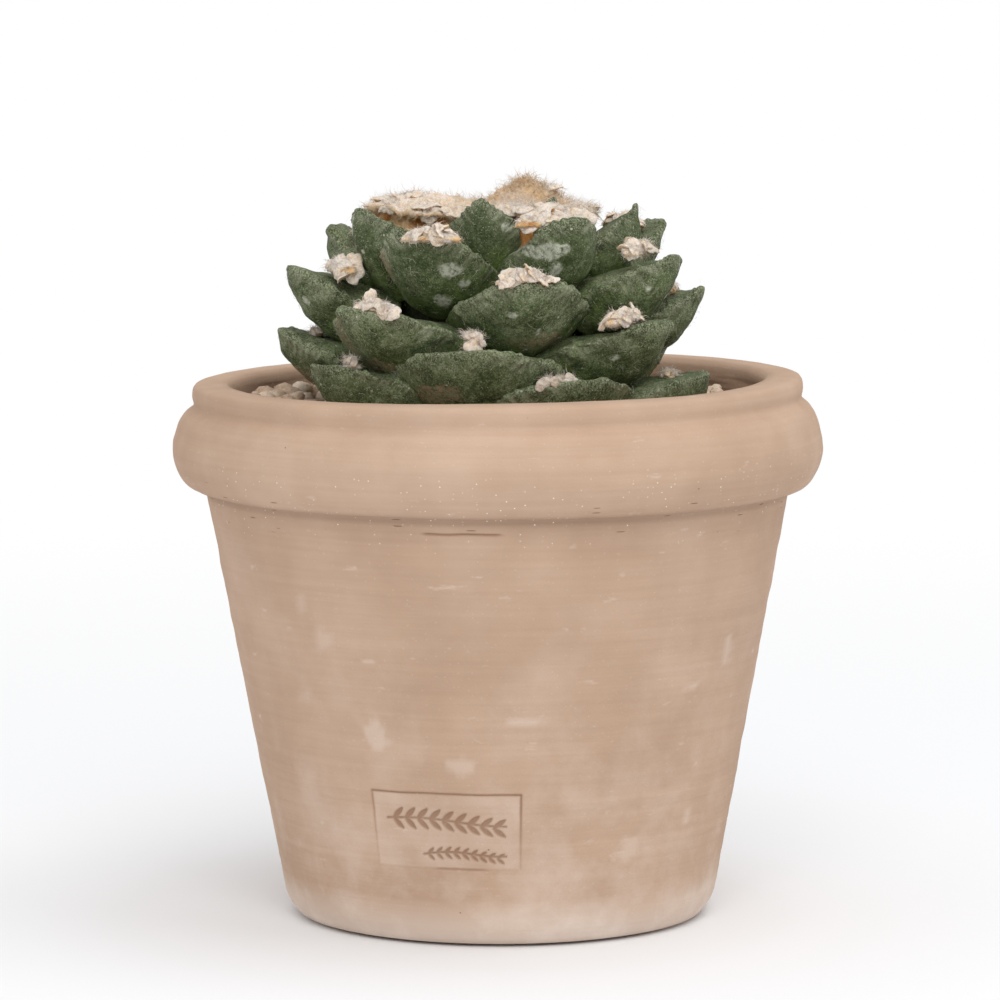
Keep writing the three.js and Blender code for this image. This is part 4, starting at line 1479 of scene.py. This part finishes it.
@dataclass
class Gravel:
    """The dressing of pumice stones, loose on the soil between the plant and the pot's wall."""

    spacing: float = 6.6
    wall_gap: float = 0.6
    stem_radius: float = 24.0

    def icosphere(self) -> tuple[Array, Array]:
        """A ball of 80 triangles: an icosahedron whose edges' middles are pushed out to the sphere.

        Returns:
            Its 42 points and its triangles.
        """
        golden = (1 + 5**0.5) / 2
        corners = [(a, b * golden, 0) for b in (1, -1) for a in (-1, 1)]
        points = np.array([np.roll(c, k) for k in range(3) for c in corners], float)
        apart = np.linalg.norm(points[:, None] - points[None], axis=-1)
        near = (apart > 0.1) & (apart < 2.1)
        triples = [f for f in np.ndindex(12, 12, 12) if f[0] < f[1] < f[2]]
        faces = [f for f in triples if near[f[:2]] and near[f[1:]] and near[f[::2]]]
        points = list(unit(points))
        middles: dict[tuple[int, int], int] = {}

        def middle(a: int, b: int) -> int:
            """The number of the point halfway between two corners, added when it is first asked for."""
            key = (min(a, b), max(a, b))
            if key not in middles:
                middles[key] = len(points)
                points.append(unit(points[a] + points[b]))
            return middles[key]

        small = []
        for a, b, c in faces:
            ab, bc, ca = middle(a, b), middle(b, c), middle(c, a)
            small += [(a, ab, ca), (b, bc, ab), (c, ca, bc), (ab, bc, ca)]
        ball, small = np.array(points), np.array(small)
        a, b, c = np.moveaxis(ball[small], 1, 0)
        inward = np.einsum("ij,ij->i", np.cross(b - a, c - a), a) < 0
        small[inward] = small[inward][:, ::-1]
        return ball, small

    def places(
        self, top: float, wall: float, tubercles: list[Tubercle], random: Random
    ) -> tuple[Array, Array]:
        """Where the stones lie: three jittered layers of a triangular lattice, clear of wall and tubercles.

        Args:
            top: The height that the highest stones reach.
            wall: The inside radius of the pot at the gravel.
            tubercles: The tubercles that stones keep out of.
            random: Draws the jitter and the sizes.

        Returns:
            The middles and the radii.
        """
        count = int(2 * wall / self.spacing) + 2
        across, up = np.meshgrid(np.arange(count) - count / 2, np.arange(count * 1.2) - count * 0.6)
        lattice = np.stack([across + 0.5 * (up % 2), up * 0.866], axis=-1).reshape(-1, 2) * self.spacing
        layers = []
        for layer, sink in enumerate((5.2, 3.0, 2.2)):
            spots = lattice + random.normal(0, 0.9, lattice.shape) + layer * self.spacing * 0.37
            size = random.uniform(2.5, 5.0, len(spots)) * (1 if layer < 2 else 0.6)
            keep = random.uniform(size=len(spots)) < (1.0, 0.8, 0.5)[layer]
            heights = top - sink + random.uniform(-0.7, 0.5, len(spots)) - np.maximum(size - 3, 0) * 0.7
            layers.append(np.column_stack([spots, heights, size])[keep])
        stones = np.concatenate(layers)
        radius = np.hypot(stones[:, 0], stones[:, 1])
        keep = (radius + stones[:, 3] * 0.9 < wall - self.wall_gap) & (radius > self.stem_radius)
        for tubercle in tubercles:
            keep &= ~tubercle.contains(stones[:, :3], -0.5)
        return stones[keep, :3], stones[keep, 3]

    def build(self, tubercles: list[Tubercle]) -> None:
        """Makes the stones as one piece over a bed that closes the gaps between them.

        A stone is the small ball, each point's radius times 1 + 0.2 noise + 0.09 finer noise, then flattened
        and turned.
        """
        low, high = (np.array(corner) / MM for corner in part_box("gravel"))
        random = np.random.default_rng(5)
        middles, sizes = self.places(high[2] + 1.6, high[0], tubercles, random)
        ball, faces = self.icosphere()
        count = len(middles)
        own = ball[None] * 6 + 40 * np.arange(count)[:, None, None]
        rough = 1 + 0.2 * noise(own, 6, 61) + 0.09 * noise(own, 2.6, 62)
        squash = random.uniform(0.72, 1.05, (count, 1, 3)) * [1.1, 1.0, 0.82]
        shape = ball[None] * rough[..., None] * squash * sizes[:, None, None]
        tilt = unit(random.normal(size=(count, 3)) * 0.35 + UP)
        aside = unit(np.cross(tilt, random.normal(size=(count, 3))))
        frames = np.stack([aside, np.cross(tilt, aside), tilt], axis=1)
        points = np.einsum("nvi,nij->nvj", shape, frames) + middles[:, None]
        triangles = faces[None] + len(ball) * np.arange(count)[:, None, None]
        tone = np.repeat(random.uniform(0, 1, count), len(ball))
        stones = Surface(points.reshape(-1, 3), triangles=triangles.reshape(-1, 3), values={"tone": tone})
        share = np.linspace(0.02, 1, 60)[:, None]
        turn = (2 * np.pi * np.arange(150) / 150)[None, :]
        surface = swept((high[0] - 0.4) * share, turn, high[2] - 4.6)
        surface[..., 2] += 0.9 * noise(surface, 4, 63) + 0.5 * noise(surface, 1.8, 64)
        under = surface[::-1] * [1, 1, 0] + [0, 0, low[2] + 0.5]
        bed = Surface.rings(np.concatenate([surface, under]))
        bed.values = {"tone": np.full(len(bed.points), 0.1)}
        place("pumice_gravel", Surface.joined([stones, bed]), PumiceGravel().material(), "gravel", ["gravel"])
        dress("soil", PottingSoil().material())


# ---- Studio ----


@dataclass(frozen=True)
class Studio:
    """A pale floor that fades into a white surround, large soft lights, and a far-off camera."""

    near_colour: str = "#f0f1f3"
    surround: float = 0.8
    key_place: tuple[float, float, float] = (0.12, -1.9, 1.7)
    key_size: float = 1.3
    key_power: float = 20.0
    top_place: tuple[float, float, float] = (0.6, -0.2, 1.8)
    top_size: float = 1.2
    top_power: float = 7.0
    aim: tuple[float, float, float] = (0, 0, 0.12)
    fade: tuple[float, float] = (0.05, 0.95)
    reach: float = 40.0
    lens: float = 200.3
    eye: tuple[float, float, float] = (0.00075, -1.544, 0.2926)
    pitch: float = 0.114

    def floor(self) -> None:
        """The floor: matt paper near the object that turns to white light with the distance from it."""
        paper = Finish("matt_paper_sweep", 0.9, 0.1)
        paper.shader.inputs["Base Color"].default_value = linear(self.near_colour)
        distance = paper.add("VectorMath", {"operation": "LENGTH"}, {0: paper.where}).outputs["Value"]
        glow = paper.add("Emission", {"Color": linear("#ffffff"), "Strength": 1.0}).outputs[0]
        fade = {"interpolation_type": "SMOOTHSTEP", 1: self.fade[0], 2: self.fade[1]}
        far = paper.add("MapRange", fade, {0: distance}).outputs[0]
        blend = paper.add("MixShader", links={0: far, 1: paper.shader.outputs[0], 2: glow}).outputs[0]
        paper.tree.links.new(blend, paper.tree.nodes["Material Output"].inputs["Surface"])
        mesh = bpy.data.meshes.new("floor")
        corners = [(x * self.reach, y * self.reach, 0) for x, y in ((-1, -1), (1, -1), (1, 1), (-1, 1))]
        mesh.from_pydata(corners, [], [(0, 1, 2, 3)])
        mesh.materials.append(paper.material)
        floor = bpy.data.objects.new("floor", mesh)
        bpy.context.scene.collection.objects.link(floor)

    def lamp(self, name: str, place_at: tuple, size: float, power: float) -> None:
        """Adds a square area light that is aimed at the plant.

        Args:
            name: Its name.
            place_at: Where it hangs, in metres.
            size: Its side in metres.
            power: Its power in watts.
        """
        light = bpy.data.lights.new(name, "AREA")
        light.size = size
        light.energy = power
        lamp = bpy.data.objects.new(name, light)
        lamp.location = place_at
        lamp.rotation_euler = (Vector(self.aim) - Vector(place_at)).to_track_quat("-Z", "Y").to_euler()
        bpy.context.scene.collection.objects.link(lamp)

    def build(self) -> None:
        """Makes the floor, the surround, the lights and the camera."""
        scene = bpy.context.scene
        scene.view_settings.view_transform = "Standard"
        self.floor()
        world = bpy.data.worlds.new("surround")
        world.use_nodes = True
        seen = add_node(world.node_tree, "LightPath").outputs["Is Camera Ray"]
        settings = {1: 0.0, 2: 1.0, 3: self.surround, 4: 1.0}
        strength = add_node(world.node_tree, "MapRange", settings, {0: seen}).outputs[0]
        background = world.node_tree.nodes["Background"]
        background.inputs["Color"].default_value = linear("#ffffff")
        world.node_tree.links.new(strength, background.inputs["Strength"])
        scene.world = world
        self.lamp("key", self.key_place, self.key_size, self.key_power)
        self.lamp("top", self.top_place, self.top_size, self.top_power)
        camera = bpy.data.cameras.new("camera")
        camera.lens = self.lens
        camera.sensor_width = 36
        camera.clip_end = 100
        eye = bpy.data.objects.new("camera", camera)
        eye.location = self.eye
        eye.rotation_euler = (math.radians(90) - self.pitch, 0, 0)
        scene.collection.objects.link(eye)
        scene.camera = eye


def main() -> None:
    """Builds the studio, the pot, the plant and the gravel."""
    Studio().build()
    Pot().build()
    plant = Plant()
    tubercles = plant.tubercles()
    plant.build(tubercles)
    Gravel().build(tubercles)


if __name__ == "__main__":
    main()
